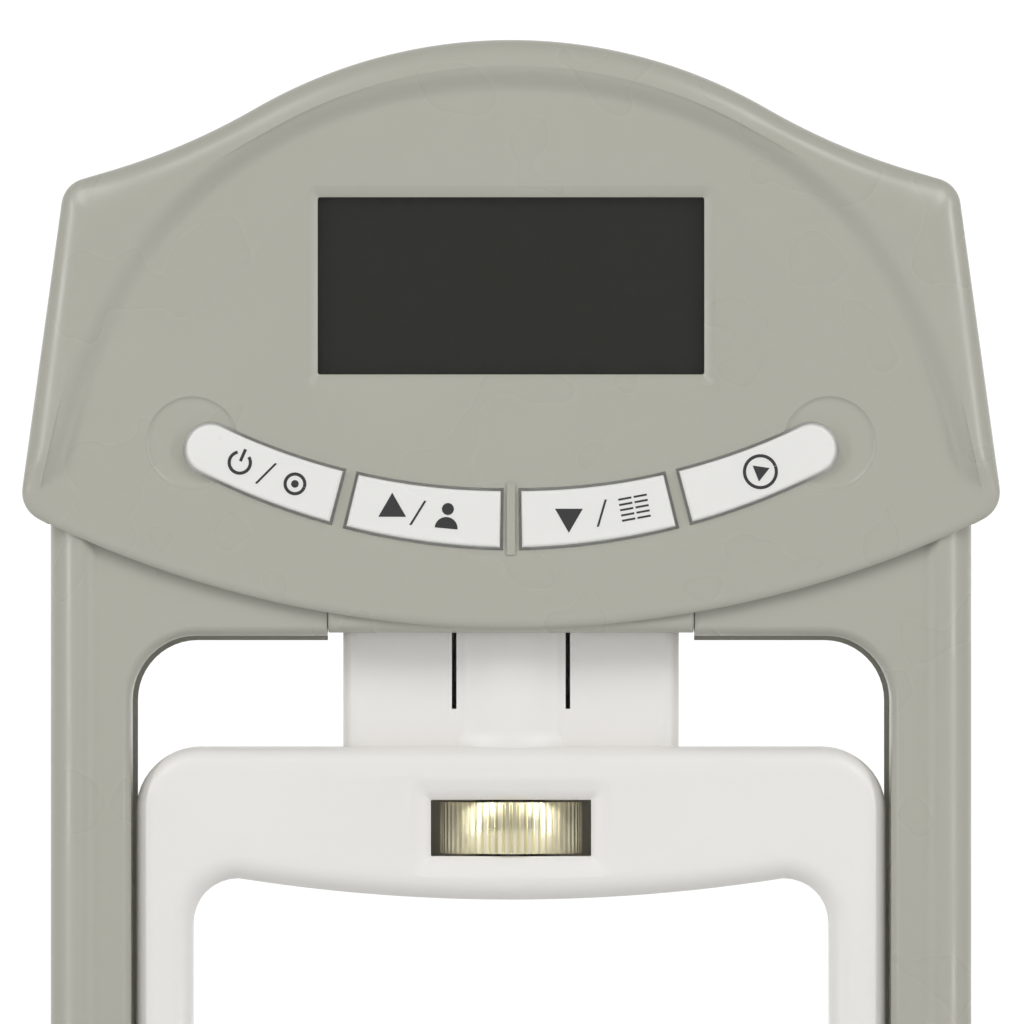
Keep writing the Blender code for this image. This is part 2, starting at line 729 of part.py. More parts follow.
def grip_half(name, side):
    """One half of the grip: hollow ring, solid core round the screw, and the guide."""
    grip = full_ring(name, grip_outline(), window_outline(), GRIP_HALF_DEPTH, GRIP_EDGE)
    core_depth = GRIP_HALF_DEPTH - MM
    depth = GRIP_HALF_DEPTH - SKIN
    outside = inset(grip_outline(), SKIN)
    inside = inset(window_outline(), -SKIN)
    cut(grip, full_ring(f"{name}_cavity", outside, inside, depth, 0))
    low = (-GRIP_CORE_HALF_WIDTH, -core_depth, WINDOW_TOP - WINDOW_DIP + MM)
    high = (GRIP_CORE_HALF_WIDTH, core_depth, GRIP_TOP - MM)
    fuse(grip, block(f"{name}_core", low, high))
    low = (-GUIDE_HALF_WIDTH, -GUIDE_HALF_DEPTH, GRIP_TOP - MM)
    high = (GUIDE_HALF_WIDTH, GUIDE_HALF_DEPTH, GUIDE_TOP)
    fuse(grip, block(f"{name}_guide", low, high))
    ends = ((0, 0, TONGUE_BOTTOM), (0, 0, TONGUE_TOP))
    fuse(grip, rod(f"{name}_tongue", TONGUE_RADIUS, *ends, 24))
    keep_half(grip, side)
    for cutting in grip_passages(name):
        cut(grip, cutting)
    return grip


def grip_passages(name):
    """The channel between the guide's legs, the slits beside its tongue, and the screw's way."""
    side = TONGUE_RADIUS + SLIT_WIDTH
    top = GUIDE_TOP + MM
    low = (-side, -CHANNEL_HALF_DEPTH, CHANNEL_FLOOR)
    high = (side, CHANNEL_HALF_DEPTH, top)
    yield block(f"{name}_channel", low, high)
    yield block(f"{name}_tongue_end", (-side, -FAR, TONGUE_TOP), (side, FAR, top))
    for sign in (-1, 1):
        xs = sorted((sign * TONGUE_RADIUS, sign * side))
        yield block(f"{name}_slit_{sign}", (xs[0], -FAR, SLIT_BOTTOM), (xs[1], 0, top))
    front = KNOB_WINDOW_HALF_WIDTH
    low = (-front, -FAR, KNOB_WINDOW_BOTTOM)
    yield block(f"{name}_knob_window", low, (front, KNOB_POCKET_DEPTH, KNOB_WINDOW_TOP))
    rear = KNOB_WINDOW_REAR_HALF_WIDTH
    low = (-rear, 0, KNOB_WINDOW_BOTTOM)
    yield block(f"{name}_rear_window", low, (rear, FAR, KNOB_WINDOW_TOP))
    bore = SCREW_RADIUS + GAP
    ends = ((0, 0, KNOB_WINDOW_TOP - MM), (0, 0, CHANNEL_FLOOR + MM))
    yield rod(f"{name}_screw_bore", bore, *ends, 16)
    socket = JOURNAL_RADIUS + GAP
    ends = ((0, 0, JOURNAL_BOTTOM - GAP), (0, 0, KNOB_WINDOW_BOTTOM + MM))
    yield rod(f"{name}_journal_bore", socket, *ends, 16)
    pocket = WASHER_RADIUS + GAP
    deep = WASHER_THICKNESS + GAP
    ends = ((0, 0, KNOB_WINDOW_TOP - MM), (0, 0, KNOB_WINDOW_TOP + deep))
    yield rod(f"{name}_upper_pocket", pocket, *ends, 20)
    ends = ((0, 0, KNOB_WINDOW_BOTTOM - deep), (0, 0, KNOB_WINDOW_BOTTOM + MM))
    yield rod(f"{name}_lower_pocket", pocket, *ends, 20)


def grip_front():
    grip = grip_half("grip_front", -1)
    for label, x, z in both_sides(GRIP_SCREWS):
        post = along_y(f"grip_post_{label}", GRIP_POST, x, z, -9 * MM, -GAP / 2, 12)
        fuse(grip, post)
        cut(grip, along_y(f"grip_pilot_{label}", GRIP_PILOT, x, z, -7 * MM, FAR, 12))
    return part(grip, "grip_plastic")


def grip_rear():
    grip = grip_half("grip_rear", 1)
    for label, x, z in both_sides(GRIP_SCREWS):
        post = along_y(f"grip_seat_{label}", GRIP_SEAT_POST, x, z, GAP / 2, 9 * MM, 12)
        fuse(grip, post)
        cut(grip, along_y(f"grip_hole_{label}", GRIP_HOLE, x, z, -FAR, FAR, 12))
        cut(grip, along_y(f"grip_counterbore_{label}", GRIP_SEAT, x, z, GRIP_SCREW_SEAT, FAR, 16))
    return part(grip, "grip_plastic")


def grip_screws():
    for label, x, z in both_sides(GRIP_SCREWS):
        base = (x, GRIP_SCREW_SEAT + GAP, z)
        fastener(f"grip_screw_{label}", GRIP_SCREW, base, (0, -1, 0))


def adjuster():
    """The knurled wheel, its screw and the two washers it turns against."""
    low = KNOB_WINDOW_BOTTOM + GAP
    high = KNOB_WINDOW_TOP - GAP
    chamfer = 0.6 * MM
    inner = SCREW_RADIUS + GAP
    wheel = [(inner, high), (KNOB_RADIUS, high), (KNOB_RADIUS, low), (inner, low)]
    part(turned("adjusting_knob", wheel, (0, 0, 0), (0, 0, 1), 32, ring=True), "brass")
    screw = [
        (0, SCREW_TOP),
        (SCREW_RADIUS - chamfer, SCREW_TOP),
        (SCREW_RADIUS, SCREW_TOP - chamfer),
        (SCREW_RADIUS, low),
        (JOURNAL_RADIUS, low),
        (JOURNAL_RADIUS, JOURNAL_BOTTOM),
        (0, JOURNAL_BOTTOM),
    ]
    part(turned("adjusting_screw", screw, (0, 0, 0), (0, 0, 1), 16), "steel")
    washers = (
        ("thrust_washer_upper", KNOB_WINDOW_TOP, SCREW_RADIUS + GAP),
        ("thrust_washer_lower", KNOB_WINDOW_BOTTOM - WASHER_THICKNESS, JOURNAL_RADIUS + GAP),
    )
    for name, bottom, bore in washers:
        top = bottom + WASHER_THICKNESS
        loop = [(bore, top), (WASHER_RADIUS, top), (WASHER_RADIUS, bottom), (bore, bottom)]
        part(turned(name, loop, (0, 0, 0), (0, 0, 1), 20, ring=True), "plated_steel")


# ---------------------------------------------------------------- load path


def load_path():
    """The nut on the screw, the yoke that hangs it, and the load cell bolted to the frame."""
    depth = YOKE_HALF_DEPTH
    half = YOKE_HALF_WIDTH
    yoke = block("pull_yoke", (-half, -depth, YOKE_BOTTOM), (half, depth, YOKE_TOP))
    inner = half - YOKE_WALL
    floor = YOKE_BOTTOM + YOKE_WALL
    ceiling = YOKE_TOP - YOKE_HEAD
    cut(yoke, block("yoke_opening", (-inner, -FAR, floor), (inner, FAR, ceiling)))
    ends = ((0, 0, YOKE_BOTTOM - MM), (0, 0, floor + MM))
    cut(yoke, rod("yoke_screw_hole", SCREW_RADIUS + 0.5 * MM, *ends, 16))
    ends = ((0, 0, ceiling - MM), (0, 0, YOKE_TOP + MM))
    cut(yoke, rod("yoke_bolt_hole", BOLT_HOLE, *ends, 12))
    part(yoke, "plated_steel")

    nut_side = inner - GAP
    nut_depth = YOKE_HALF_DEPTH - GAP
    nut_low = floor + GAP
    nut_high = nut_low + NUT_HEIGHT
    nut = block(
        "coupling_nut", (-nut_side, -nut_depth, nut_low), (nut_side, nut_depth, nut_high)
    )
    ends = ((0, 0, nut_low - MM), (0, 0, nut_high + MM))
    cut(nut, rod("nut_thread", SCREW_RADIUS + GAP, *ends, 16))
    part(nut, "brass")

    cell_half = CELL_SIZE / 2
    cell_top = CELL_BOTTOM + CELL_SIZE
    cell_middle = CELL_BOTTOM + cell_half
    cell = block(
        "load_cell", (CELL_LEFT, -cell_half, CELL_BOTTOM), (CELL_RIGHT, cell_half, cell_top)
    )
    gauge_low = (-20 * MM, cell_middle - 3.2 * MM)
    gauge_high = (-7 * MM, cell_middle + 3.2 * MM)
    gauge = rounded_rectangle(gauge_low, gauge_high, [3.1 * MM] * 4)
    cut(cell, slab("gauge_hole", [gauge], -FAR, FAR))
    ends = ((0, 0, CELL_BOTTOM - MM), (0, 0, cell_top + MM))
    cut(cell, rod("cell_bolt_hole", BOLT_HOLE, *ends, 12))
    for x in CELL_SCREWS:
        cut(cell, along_y(f"cell_hole_{x:.3f}", BOLT_HOLE, x, cell_middle, -FAR, FAR, 12))
    part(cell, "aluminium")

    base = (0, 0, cell_top + GAP)
    fastener("yoke_bolt", YOKE_BOLT, base, (0, 0, -1))
    for order, x in enumerate(CELL_SCREWS, start=1):
        base = (x, -cell_half - GAP, cell_middle)
        fastener(f"cell_bolt_{order}", CELL_BOLT, base, (0, 1, 0))


# ---------------------------------------------------------------- keys and electronics


def key_plan():
    return (
        ("key_power", KEY_OUTER, -1, True),
        ("key_up", KEY_INNER, -1, False),
        ("key_down", KEY_INNER, 1, False),
        ("key_start", KEY_OUTER, 1, True),
    )


def keys():
    for name, span, side, rounded in key_plan():
        cap = slab(name, [key_outline(span, side, 0, rounded)], KEY_FRONT, KEY_BACK)
        flange_outline = key_outline(span, side, KEY_GAP + KEY_FLANGE / 2, rounded)
        flange_front = KEY_BACK - KEY_FLANGE
        fuse(cap, slab(f"{name}_flange", [flange_outline], flange_front, KEY_BACK))
        part(cap, "key_plastic")


def key_mat():
    """Silicone mat with the four spring domes, between the keys and the circuit board."""
    angles = [-28, -21, -14, -7, 0, 7, 14, 21, 28]
    rim = 5.2 * MM
    lower = []
    upper = []
    for angle in angles:
        turn = math.radians(angle)
        for points, reach in ((lower, KEY_RADIUS + rim), (upper, KEY_RADIUS - rim)):
            points.append((reach * math.sin(turn), KEY_CENTRE_Z - reach * math.cos(turn)))
    back = PCB_FRONT - GAP
    front = KEY_BACK + 1.9 * MM
    mat = slab("key_mat", [lower + upper[::-1]], front, back)
    for angle in (-20.6, -7.2, 7.2, 20.6):
        turn = math.radians(angle)
        x = KEY_RADIUS * math.sin(turn)
        z = KEY_CENTRE_Z - KEY_RADIUS * math.cos(turn)
        dome_front = KEY_BACK + 1.1 * MM
        fuse(mat, along_y(f"dome_{angle}", 2.2 * MM, x, z, dome_front, front + MM / 2, 12))
    part(mat, "rubber")


def display():
    layers = (
        ("lcd_window", 1.6 * MM, -12.7 * MM, -11.9 * MM, "lcd_lens"),
        ("lcd_panel", 2.6 * MM, -11.6 * MM, -10.6 * MM, "lcd_glass"),
    )
    for name, border, front, back, material in layers:
        low = (-LCD_HALF_WIDTH - border, front, LCD_BOTTOM - border / 2)
        high = (LCD_HALF_WIDTH + border, back, LCD_TOP + border)
        part(block(name, low, high), material)
    low = (-24 * MM, -10.3 * MM, LCD_BOTTOM - MM)
    high = (24 * MM, PCB_FRONT - GAP, LCD_BOTTOM + MM)
    part(block("contact_strip", low, high), "rubber")


def electronics():
    board = slab("circuit_board", [pcb_outline()], PCB_FRONT, PCB_BACK)
    for label, x, z in both_sides((PCB_SCREWS,)):
        cut(board, along_y(f"board_hole_{label}", 1.4 * MM, x, z, -FAR, FAR, 12))
    part(board, "circuit_board")
    for label, x, z in both_sides((PCB_SCREWS,)):
        base = (x, PCB_BACK + GAP, z)
        fastener(f"board_screw_{label}", BOARD_SCREW, base, (0, -1, 0))
    low = (-30 * MM, PCB_BACK + GAP, 139 * MM)
    part(block("controller_chip", low, (-23 * MM, -5.9 * MM, 146 * MM)), "inner_plastic")
    start = (28 * MM, PCB_BACK + GAP, 152 * MM)
    part(rod("buzzer", 6 * MM, start, (28 * MM, -2.6 * MM, 152 * MM), 24), "inner_plastic")
    lead = []
    steps = 10
    start = Vector((-14 * MM, -5.8 * MM, CELL_BOTTOM + 8 * MM))
    end = Vector((-33 * MM, -6.9 * MM, 168 * MM))
    for index in range(steps + 1):
        share = index / steps
        point = start.lerp(end, share)
        point.z += 3 * MM * math.sin(math.pi * share)
        lead.append(point)
    part(tube("sensor_lead", lead, 0.45 * MM), "lead_sheath")


# ---------------------------------------------------------------- battery bay


def battery(name, z, side):
    """A cell with its positive nub towards side."""
    tip = side * BATTERY_TIP
    profile = [
        (0, 0),
        (BATTERY_NUB_RADIUS, 0),
        (BATTERY_NUB_RADIUS, -BATTERY_NUB),
        (BATTERY_RADIUS, -BATTERY_NUB),
        (BATTERY_RADIUS, -BATTERY_NUB - BATTERY_BODY),
        (0, -BATTERY_NUB - BATTERY_BODY),
    ]
    part(turned(name, profile, (tip, BATTERY_Y, z), (side, 0, 0), 18), "battery_wrap")


def contact(name, side, low_z, high_z, bump_z):
    """A sheet-metal contact on one end wall, with a raised pad where it meets a nub."""
    thickness = 0.5 * MM
    wall = side * (TRAY_HALF_WIDTH - TRAY_WALL - GAP)
    ends = sorted((wall, wall - side * thickness))
    low = (ends[0], BATTERY_Y - 3.6 * MM, low_z)
    high = (ends[1], BATTERY_Y + 3.6 * MM, high_z)
    plate = block(name, low, high)
    if bump_z is not None:
        pad_end = side * (BATTERY_TIP + GAP)
        start = (wall - side * thickness / 2, BATTERY_Y, bump_z)
        fuse(plate, rod(f"{name}_pad", 2.4 * MM, start, (pad_end, BATTERY_Y, bump_z), 16))
    part(plate, "plated_steel")


def contact_spring(name, side, z):
    """A conical spring between an end wall's contact and a cell's flat end."""
    wire = 0.3 * MM
    wall = TRAY_HALF_WIDTH - TRAY_WALL - GAP - 0.5 * MM
    outer = wall - wire - GAP
    inner = BATTERY_BODY + BATTERY_NUB - BATTERY_TIP + wire + GAP
    turns = 2.5
    steps = 22
    points = []
    for index in range(steps + 1):
        share = index / steps
        angle = 2 * math.pi * turns * share
        radius = (3.3 - 1.5 * share) * MM
        x = side * (outer + (inner - outer) * share)
        y = BATTERY_Y + radius * math.cos(angle)
        points.append((x, y, z + radius * math.sin(angle)))
    part(tube(name, points, wire), "plated_steel")


def battery_bay():
    """Tray, cells and contacts; the cells lie side by side, head to tail."""
    back = HEAD_HALF_DEPTH - SKIN - GAP
    wall = TRAY_WALL
    half = TRAY_HALF_WIDTH
    tray = block("battery_tray", (-half, TRAY_FRONT, TRAY_BOTTOM), (half, back, TRAY_TOP))
    low = (-half + wall, TRAY_FRONT + wall, TRAY_BOTTOM + wall)
    cut(tray, block("tray_inside", low, (half - wall, FAR, TRAY_TOP - wall)))
    for side in (1, -1):
        xs = sorted((side * 11 * MM, side * 18 * MM))
        low = (xs[0], 9 * MM, TRAY_BOTTOM - MM)
        cut(tray, block(f"hook_notch_{side}", low, (xs[1], FAR, TRAY_BOTTOM + 2 * wall)))
    part(tray, "inner_plastic")

    low_z = BATTERY_LOW_Z
    high_z = BATTERY_LOW_Z + BATTERY_PITCH
    battery("battery_lower", low_z, 1)
    battery("battery_upper", high_z, -1)
    reach = 4 * MM
    contact("contact_bridge", 1, low_z - reach, high_z + reach, low_z)
    contact("contact_negative", -1, low_z - reach, low_z + reach, None)
    contact("contact_positive", -1, high_z - reach, high_z + reach, high_z)
    contact_spring("contact_spring_lower", -1, low_z)
    contact_spring("contact_spring_upper", 1, high_z)


def battery_door():
    """Door with two hooks at its lower edge, which it swings on, and a catch at its upper edge."""
    hinge = bpy.data.objects.new("door_hinge", None)
    hinge.location = DOOR_AXIS
    PARTS.objects.link(hinge)
    front = HEAD_HALF_DEPTH - DOOR_THICKNESS
    low = (-DOOR_HALF_WIDTH, front, DOOR_BOTTOM)
    door = block("battery_door", low, (DOOR_HALF_WIDTH, HEAD_HALF_DEPTH, DOOR_TOP))
    hook_back = HEAD_HALF_DEPTH - SKIN - GAP
    for side in (1, -1):
        xs = sorted((side * 12 * MM, side * 17 * MM))
        low = (xs[0], hook_back - 1.3 * MM, DOOR_BOTTOM - 1.4 * MM)
        fuse(door, block(f"hook_{side}", low, (xs[1], hook_back, DOOR_BOTTOM + 1.2 * MM)))
        low = (xs[0], hook_back - MM, DOOR_BOTTOM + 0.2 * MM)
        fuse(door, block(f"neck_{side}", low, (xs[1], front + MM, DOOR_BOTTOM + 1.2 * MM)))
    low = (-4 * MM, front - 2.4 * MM, DOOR_TOP - 0.9 * MM)
    fuse(door, block("catch", low, (4 * MM, front + MM, DOOR_TOP - 0.3 * MM)))
    low = (-6 * MM, HEAD_HALF_DEPTH - 0.8 * MM, DOOR_TOP - 5 * MM)
    cut(door, block("thumb_notch", low, (6 * MM, FAR, DOOR_TOP + MM)))
    part(door, "housing_plastic")
    door.parent = hinge
    door.matrix_parent_inverse = hinge.matrix_basis.inverted()


# ---------------------------------------------------------------- assembly


for leftover in list(bpy.data.objects):
    bpy.data.objects.remove(leftover)

PARTS = new_collection("hand_dynamometer")
CUTTERS = new_collection("cutters")
PAINT = make_materials()

head_cover()
head_back()
frame_front()
frame_rear()
guide_bush()
housing_screws()
grip_front()
grip_rear()
grip_screws()
adjuster()
load_path()
keys()
key_mat()
display()
electronics()
battery_bay()
battery_door()
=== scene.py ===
"""Looks of the hand dynamometer: moulded housings, grip, keys, display, wheel and battery bay.

Metres, +Z up, in the frame of the CAD model. The display faces -Y.
"""

import math
from functools import partial

import bmesh
import bpy
from mathutils import Matrix, Vector


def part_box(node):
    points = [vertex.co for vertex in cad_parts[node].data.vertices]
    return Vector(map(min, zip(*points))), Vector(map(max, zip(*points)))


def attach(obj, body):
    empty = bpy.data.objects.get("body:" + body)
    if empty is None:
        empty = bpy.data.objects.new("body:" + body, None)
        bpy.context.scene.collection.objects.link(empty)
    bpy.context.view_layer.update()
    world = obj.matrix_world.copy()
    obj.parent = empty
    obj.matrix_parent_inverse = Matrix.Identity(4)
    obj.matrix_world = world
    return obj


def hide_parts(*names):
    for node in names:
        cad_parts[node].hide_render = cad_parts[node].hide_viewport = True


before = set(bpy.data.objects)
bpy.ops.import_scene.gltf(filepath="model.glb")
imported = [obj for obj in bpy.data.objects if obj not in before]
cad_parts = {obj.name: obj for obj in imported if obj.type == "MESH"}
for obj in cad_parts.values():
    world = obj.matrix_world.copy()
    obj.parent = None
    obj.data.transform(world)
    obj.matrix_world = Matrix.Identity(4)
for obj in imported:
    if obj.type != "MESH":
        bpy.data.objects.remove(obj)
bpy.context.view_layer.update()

MM = 0.001
GAP = 0.3 * MM
FAR = 40 * MM
SEAM = GAP / 2
WALL = 2 * MM

# Head.
HEAD_TOP = 195 * MM
HEAD_HALF_DEPTH = 15.5 * MM
HEAD_EDGE = 3 * MM
DOME_RADIUS = 67 * MM
DOME_SWEEP = 30
SHOULDER_RADIUS = 88 * MM
SHOULDER_SWEEP = 14
SHOULDER_TIP = (58.5 * MM, 176.1 * MM)
SHOULDER_ROUND = 3.8 * MM
WING_TIP = (64.35 * MM, 133.6 * MM)
WING_ROUND = 4 * MM
CHIN_RADIUS = 140.8 * MM
CHIN_Z = 117.9 * MM + CHIN_RADIUS
FACE_Y = -13.5 * MM
INNER_FACE_Y = -12.75 * MM
HEAD_MIDDLE = (0.0, 150 * MM)

# Crest of the head's raised rim and the valley inside it.
DOME_CREST_INSET = 3.4 * MM
CHIN_CREST_INSET = 1.8 * MM
CHIN_VALLEY_INSET = 4.3 * MM
RIDGE_TOP = (53.8 * MM, 170.7 * MM)
RIDGE_BOTTOM = (61.7 * MM, 136.1 * MM)
VALLEY_FOOT = (59 * MM, 137 * MM)
VALLEY_SHOULDER = (41.6 * MM, 171.8 * MM)
VALLEY_TOP = (0.0, 187.8 * MM)
BANK_WIDTH = 4.2 * MM
BANK_SHARE = 0.75

# Where the rim rises from the chin, and where its rolled edge stops short of a quarter turn,
# in degrees.
RIM_FADE = (134.5 * MM, 141 * MM)
RIDGE_X_FADE = (51 * MM, 54 * MM)
RIDGE_Z_FADE = (133 * MM, 138 * MM)
RIDGE_SHORTFALL = 24
DOME_FADE = (180 * MM, 184 * MM)
DOME_SHORTFALL = 14

# Display and keys.
LCD_HALF_WIDTH = 25.3 * MM
LCD_BOTTOM = 151.2 * MM
LCD_TOP = 174.4 * MM
LCD_BEVEL = 1.4 * MM
KEY_CENTRE_Z = 220.9 * MM
KEY_RADIUS = 88.65 * MM
KEY_HALF_HEIGHT = 3.7 * MM
KEY_END_HALF_HEIGHT = 3.2 * MM
KEY_GAP = 0.4 * MM
KEY_INNER = (0.9, 13.53)
KEY_OUTER = (14.95, 26.3)
KEY_FRONT = -14.3 * MM
KEY_BACK = -12.1 * MM
INK = 0.03 * MM
DIMPLE = (41.7 * MM, 142.2 * MM)
DIMPLE_RADIUS = 6 * MM
DIMPLE_DEPTH = 0.65 * MM

# Frame.
FRAME_HALF_WIDTH = 60.3 * MM
FRAME_HALF_DEPTH = 12.5 * MM
FRAME_CORNER = 20 * MM
BAY_HALF_WIDTH = 49.7 * MM
BAY_BOTTOM = 23 * MM
BAY_TOP = 117 * MM
BAY_TOP_CORNER = 8.5 * MM
BAY_BOTTOM_CORNER = 10 * MM
WEB_HEIGHT = 7 * MM
RAIL_CREST_INSET = 3.9 * MM
RAIL_EDGE_Y = 8.4 * MM
RAIL_SLOPE = 2.6 * MM
RAIL_SINK = 0.9 * MM
REAR_LIP = 0.65 * MM
REAR_LIP_Y = 10.4 * MM
DECK_HALF_WIDTH = 55 * MM
DECK_BOTTOM = 118 * MM
DECK_TOP = 162.4 * MM
BUSH_HALF_WIDTH = 24 * MM
BUSH_TOP = 124.5 * MM

# Grip.
GRIP_HALF_WIDTH = 49.1 * MM
GRIP_HALF_DEPTH = 10 * MM
GRIP_BOTTOM = 35 * MM
GRIP_TOP = 102.4 * MM
GRIP_CORNER = 8.3 * MM
WINDOW_HALF_WIDTH = 41.7 * MM
WINDOW_BOTTOM = 53 * MM
WINDOW_TOP = 85.2 * MM
WINDOW_DIP = 2.8 * MM
WINDOW_CORNER = 6 * MM
GUIDE_HALF_WIDTH = 22 * MM
GUIDE_HALF_DEPTH = 5.5 * MM
GUIDE_TOP = 135 * MM
GUIDE_EDGE = 2.4 * MM
TONGUE_RADIUS = 7.15 * MM
TONGUE_TOP = 129.5 * MM
SLIT_BOTTOM = 107.4 * MM
SLIT_WIDTH = 0.6 * MM
SWELL_TOP = 104.8 * MM
CHANNEL_FLOOR = 104 * MM
CHANNEL_HALF_DEPTH = 5.3 * MM
KNOB_WINDOW_HALF_WIDTH = 10.5 * MM
KNOB_WINDOW_BOTTOM = 88.1 * MM
KNOB_WINDOW_TOP = 95.5 * MM
KNOB_WINDOW_REAR_HALF_WIDTH = 7.6 * MM
KNOB_POCKET_HALF_WIDTH = 12 * MM
KNOB_POCKET_DEPTH = 8.2 * MM
KNOB_RADIUS = 9.35 * MM
SCREW_RADIUS = 3 * MM
JOURNAL_RADIUS = 2 * MM

# Places of the fasteners, as x and z on the face they enter.
HEAD_SCREWS = ((48 * MM, 141 * MM), (46 * MM, 170 * MM))
FRAME_SCREWS = ((30 * MM, 11.5 * MM), (55 * MM, 98 * MM))
GRIP_SCREWS = ((36 * MM, 94 * MM), (38 * MM, 44 * MM))
PILOT_RADIUS = 1.55 * MM
CLEARANCE_RADIUS = 1.7 * MM

# Battery bay.
CELL_Y = 8.4 * MM
DOOR_HALF_WIDTH = 25.7 * MM
DOOR_BOTTOM = 163.9 * MM
DOOR_TOP = 185.3 * MM

# Studio.
LOOK_AT = Vector((0.13 * MM, 0, 133.2 * MM))
CAMERA_DISTANCE = 5.0
VIEW_WIDTH = 134.04 * MM
ROOM_LIGHT = 0.35
BACKGROUND_LIGHT = 1.06
KEY_POWER = 4.8
STRIP_POWER = 5.2


# ---------------------------------------------------------------- outlines


def soft_step(value, low, high):
    share = min(max((value - low) / (high - low), 0), 1)
    return share * share * (3 - 2 * share)


def roll(steps, end=math.pi / 2):
    """Shares of reach and rise along an edge rounded over an angle, from foot to top."""
    shares = []
    for index in range(steps + 1):
        angle = end * index / steps
        reach = (1 - math.cos(angle)) / (1 - math.cos(end))
        shares.append((reach, math.sin(angle) / math.sin(end)))
    return shares


def arc(centre_x, centre_z, radius, start, end, steps):
    points = []
    for index in range(steps + 1):
        angle = math.radians(start + (end - start) * index / steps)
        points.append((centre_x + radius * math.cos(angle), centre_z + radius * math.sin(angle)))
    return points


def straight(start, end, steps):
    """Points between two places, both ends left out."""
    start = Vector(start)
    end = Vector(end)
    return [tuple(start.lerp(end, index / steps)) for index in range(1, steps)]


def bezier(start, first_handle, second_handle, end, steps):
    knots = (start, first_handle, second_handle, end)
    points = []
    for index in range(steps + 1):
        share = index / steps
        rest = 1 - share
        weights = (rest**3, 3 * rest**2 * share, 3 * rest * share**2, share**3)
        x = sum(weight * knot[0] for weight, knot in zip(weights, knots))
        z = sum(weight * knot[1] for weight, knot in zip(weights, knots))
        points.append((x, z))
    return points


def rounded_corner(before, corner, after, radius, steps=8):
    corner = Vector(corner)
    to_before = (Vector(before) - corner).normalized()
    to_after = (Vector(after) - corner).normalized()
    half_angle = to_before.angle(to_after) / 2
    centre = corner + (to_before + to_after).normalized() * radius / math.sin(half_angle)
    reach = radius / math.tan(half_angle)
    first = corner + to_before * reach - centre
    last = corner + to_after * reach - centre
    turn = first.angle_signed(last)
    points = []
    for index in range(steps + 1):
        angle = -turn * index / steps
        spoke = Vector(
            (
                first.x * math.cos(angle) - first.y * math.sin(angle),
                first.x * math.sin(angle) + first.y * math.cos(angle),
            )
        )
        points.append(tuple(centre + spoke))
    return points


def rounded_rectangle(low, high, radii, steps=8):
    """Counter-clockwise; radii are for the corners from bottom left, in order."""
    corners = [(low[0], low[1]), (high[0], low[1]), (high[0], high[1]), (low[0], high[1])]
    points = []
    for index, corner in enumerate(corners):
        after = corners[(index + 1) % 4]
        points += rounded_corner(corners[index - 1], corner, after, radii[index], steps)
    return points


def bar_shape(low, high):
    return [low, (high[0], low[1]), high, (low[0], high[1])]


def mirrored(right_side):
    left_side = [(-x, z) for x, z in reversed(right_side) if x > MM / 100]
    return right_side + left_side


def inset(points, distance):
    """Move a counter-clockwise outline inwards by a distance."""
    moved = []
    count = len(points)
    for index, here in enumerate(points):
        here = Vector(here)
        arriving = (here - Vector(points[index - 1])).normalized()
        leaving = (Vector(points[(index + 1) % count]) - here).normalized()
        normal = Vector((-arriving.y - leaving.y, arriving.x + leaving.x)).normalized()
        stretch = max(normal.dot(Vector((-arriving.y, arriving.x))), 0.5)
        moved.append(tuple(here + normal * distance / stretch))
    return moved


CHIN_STEPS = 30
SIDE_STEPS = 20
SHOULDER_STEPS = 12
DOME_STEPS = 28


def head_outline():
    chin_edge = math.degrees(math.asin((WING_TIP[0] - WING_ROUND) / CHIN_RADIUS))
    chin = arc(0, CHIN_Z, CHIN_RADIUS, -90, -90 + chin_edge, CHIN_STEPS)
    dome_z = HEAD_TOP - DOME_RADIUS
    bend = DOME_RADIUS + SHOULDER_RADIUS
    bend_x = bend * math.sin(math.radians(DOME_SWEEP))
    bend_z = dome_z + bend * math.cos(math.radians(DOME_SWEEP))
    bend_end = 270 - DOME_SWEEP
    shoulder = arc(
        bend_x, bend_z, SHOULDER_RADIUS, bend_end + SHOULDER_SWEEP, bend_end, SHOULDER_STEPS
    )
    dome = arc(0, dome_z, DOME_RADIUS, 90 - DOME_SWEEP, 90, DOME_STEPS)
    wing = rounded_corner(chin[-1], WING_TIP, SHOULDER_TIP, WING_ROUND)
    tip = rounded_corner(WING_TIP, SHOULDER_TIP, shoulder[0], SHOULDER_ROUND)
    side = straight(wing[-1], tip[0], SIDE_STEPS)
    return mirrored(chin + wing + side + tip + shoulder + dome[1:])


def crest_outline():
    """The rim's highest line, point for point inside head_outline."""
    radius = CHIN_RADIUS - CHIN_CREST_INSET
    chin_edge = math.degrees(math.asin((RIDGE_BOTTOM[0] - 2 * MM) / radius))
    chin = arc(0, CHIN_Z, radius, -90, -90 + chin_edge, CHIN_STEPS)
    dome_z = HEAD_TOP - DOME_RADIUS
    dome = arc(0, dome_z, DOME_RADIUS - DOME_CREST_INSET, 90 - DOME_SWEEP, 90, DOME_STEPS)
    wing = rounded_corner(chin[-1], RIDGE_BOTTOM, RIDGE_TOP, 1.5 * MM)
    tip = rounded_corner(RIDGE_BOTTOM, RIDGE_TOP, dome[0], 1.2 * MM)
    side = straight(wing[-1], tip[0], SIDE_STEPS)
    shoulder = straight(tip[-1], dome[0], SHOULDER_STEPS + 1)
    return mirrored(chin + wing + side + tip + shoulder + dome)


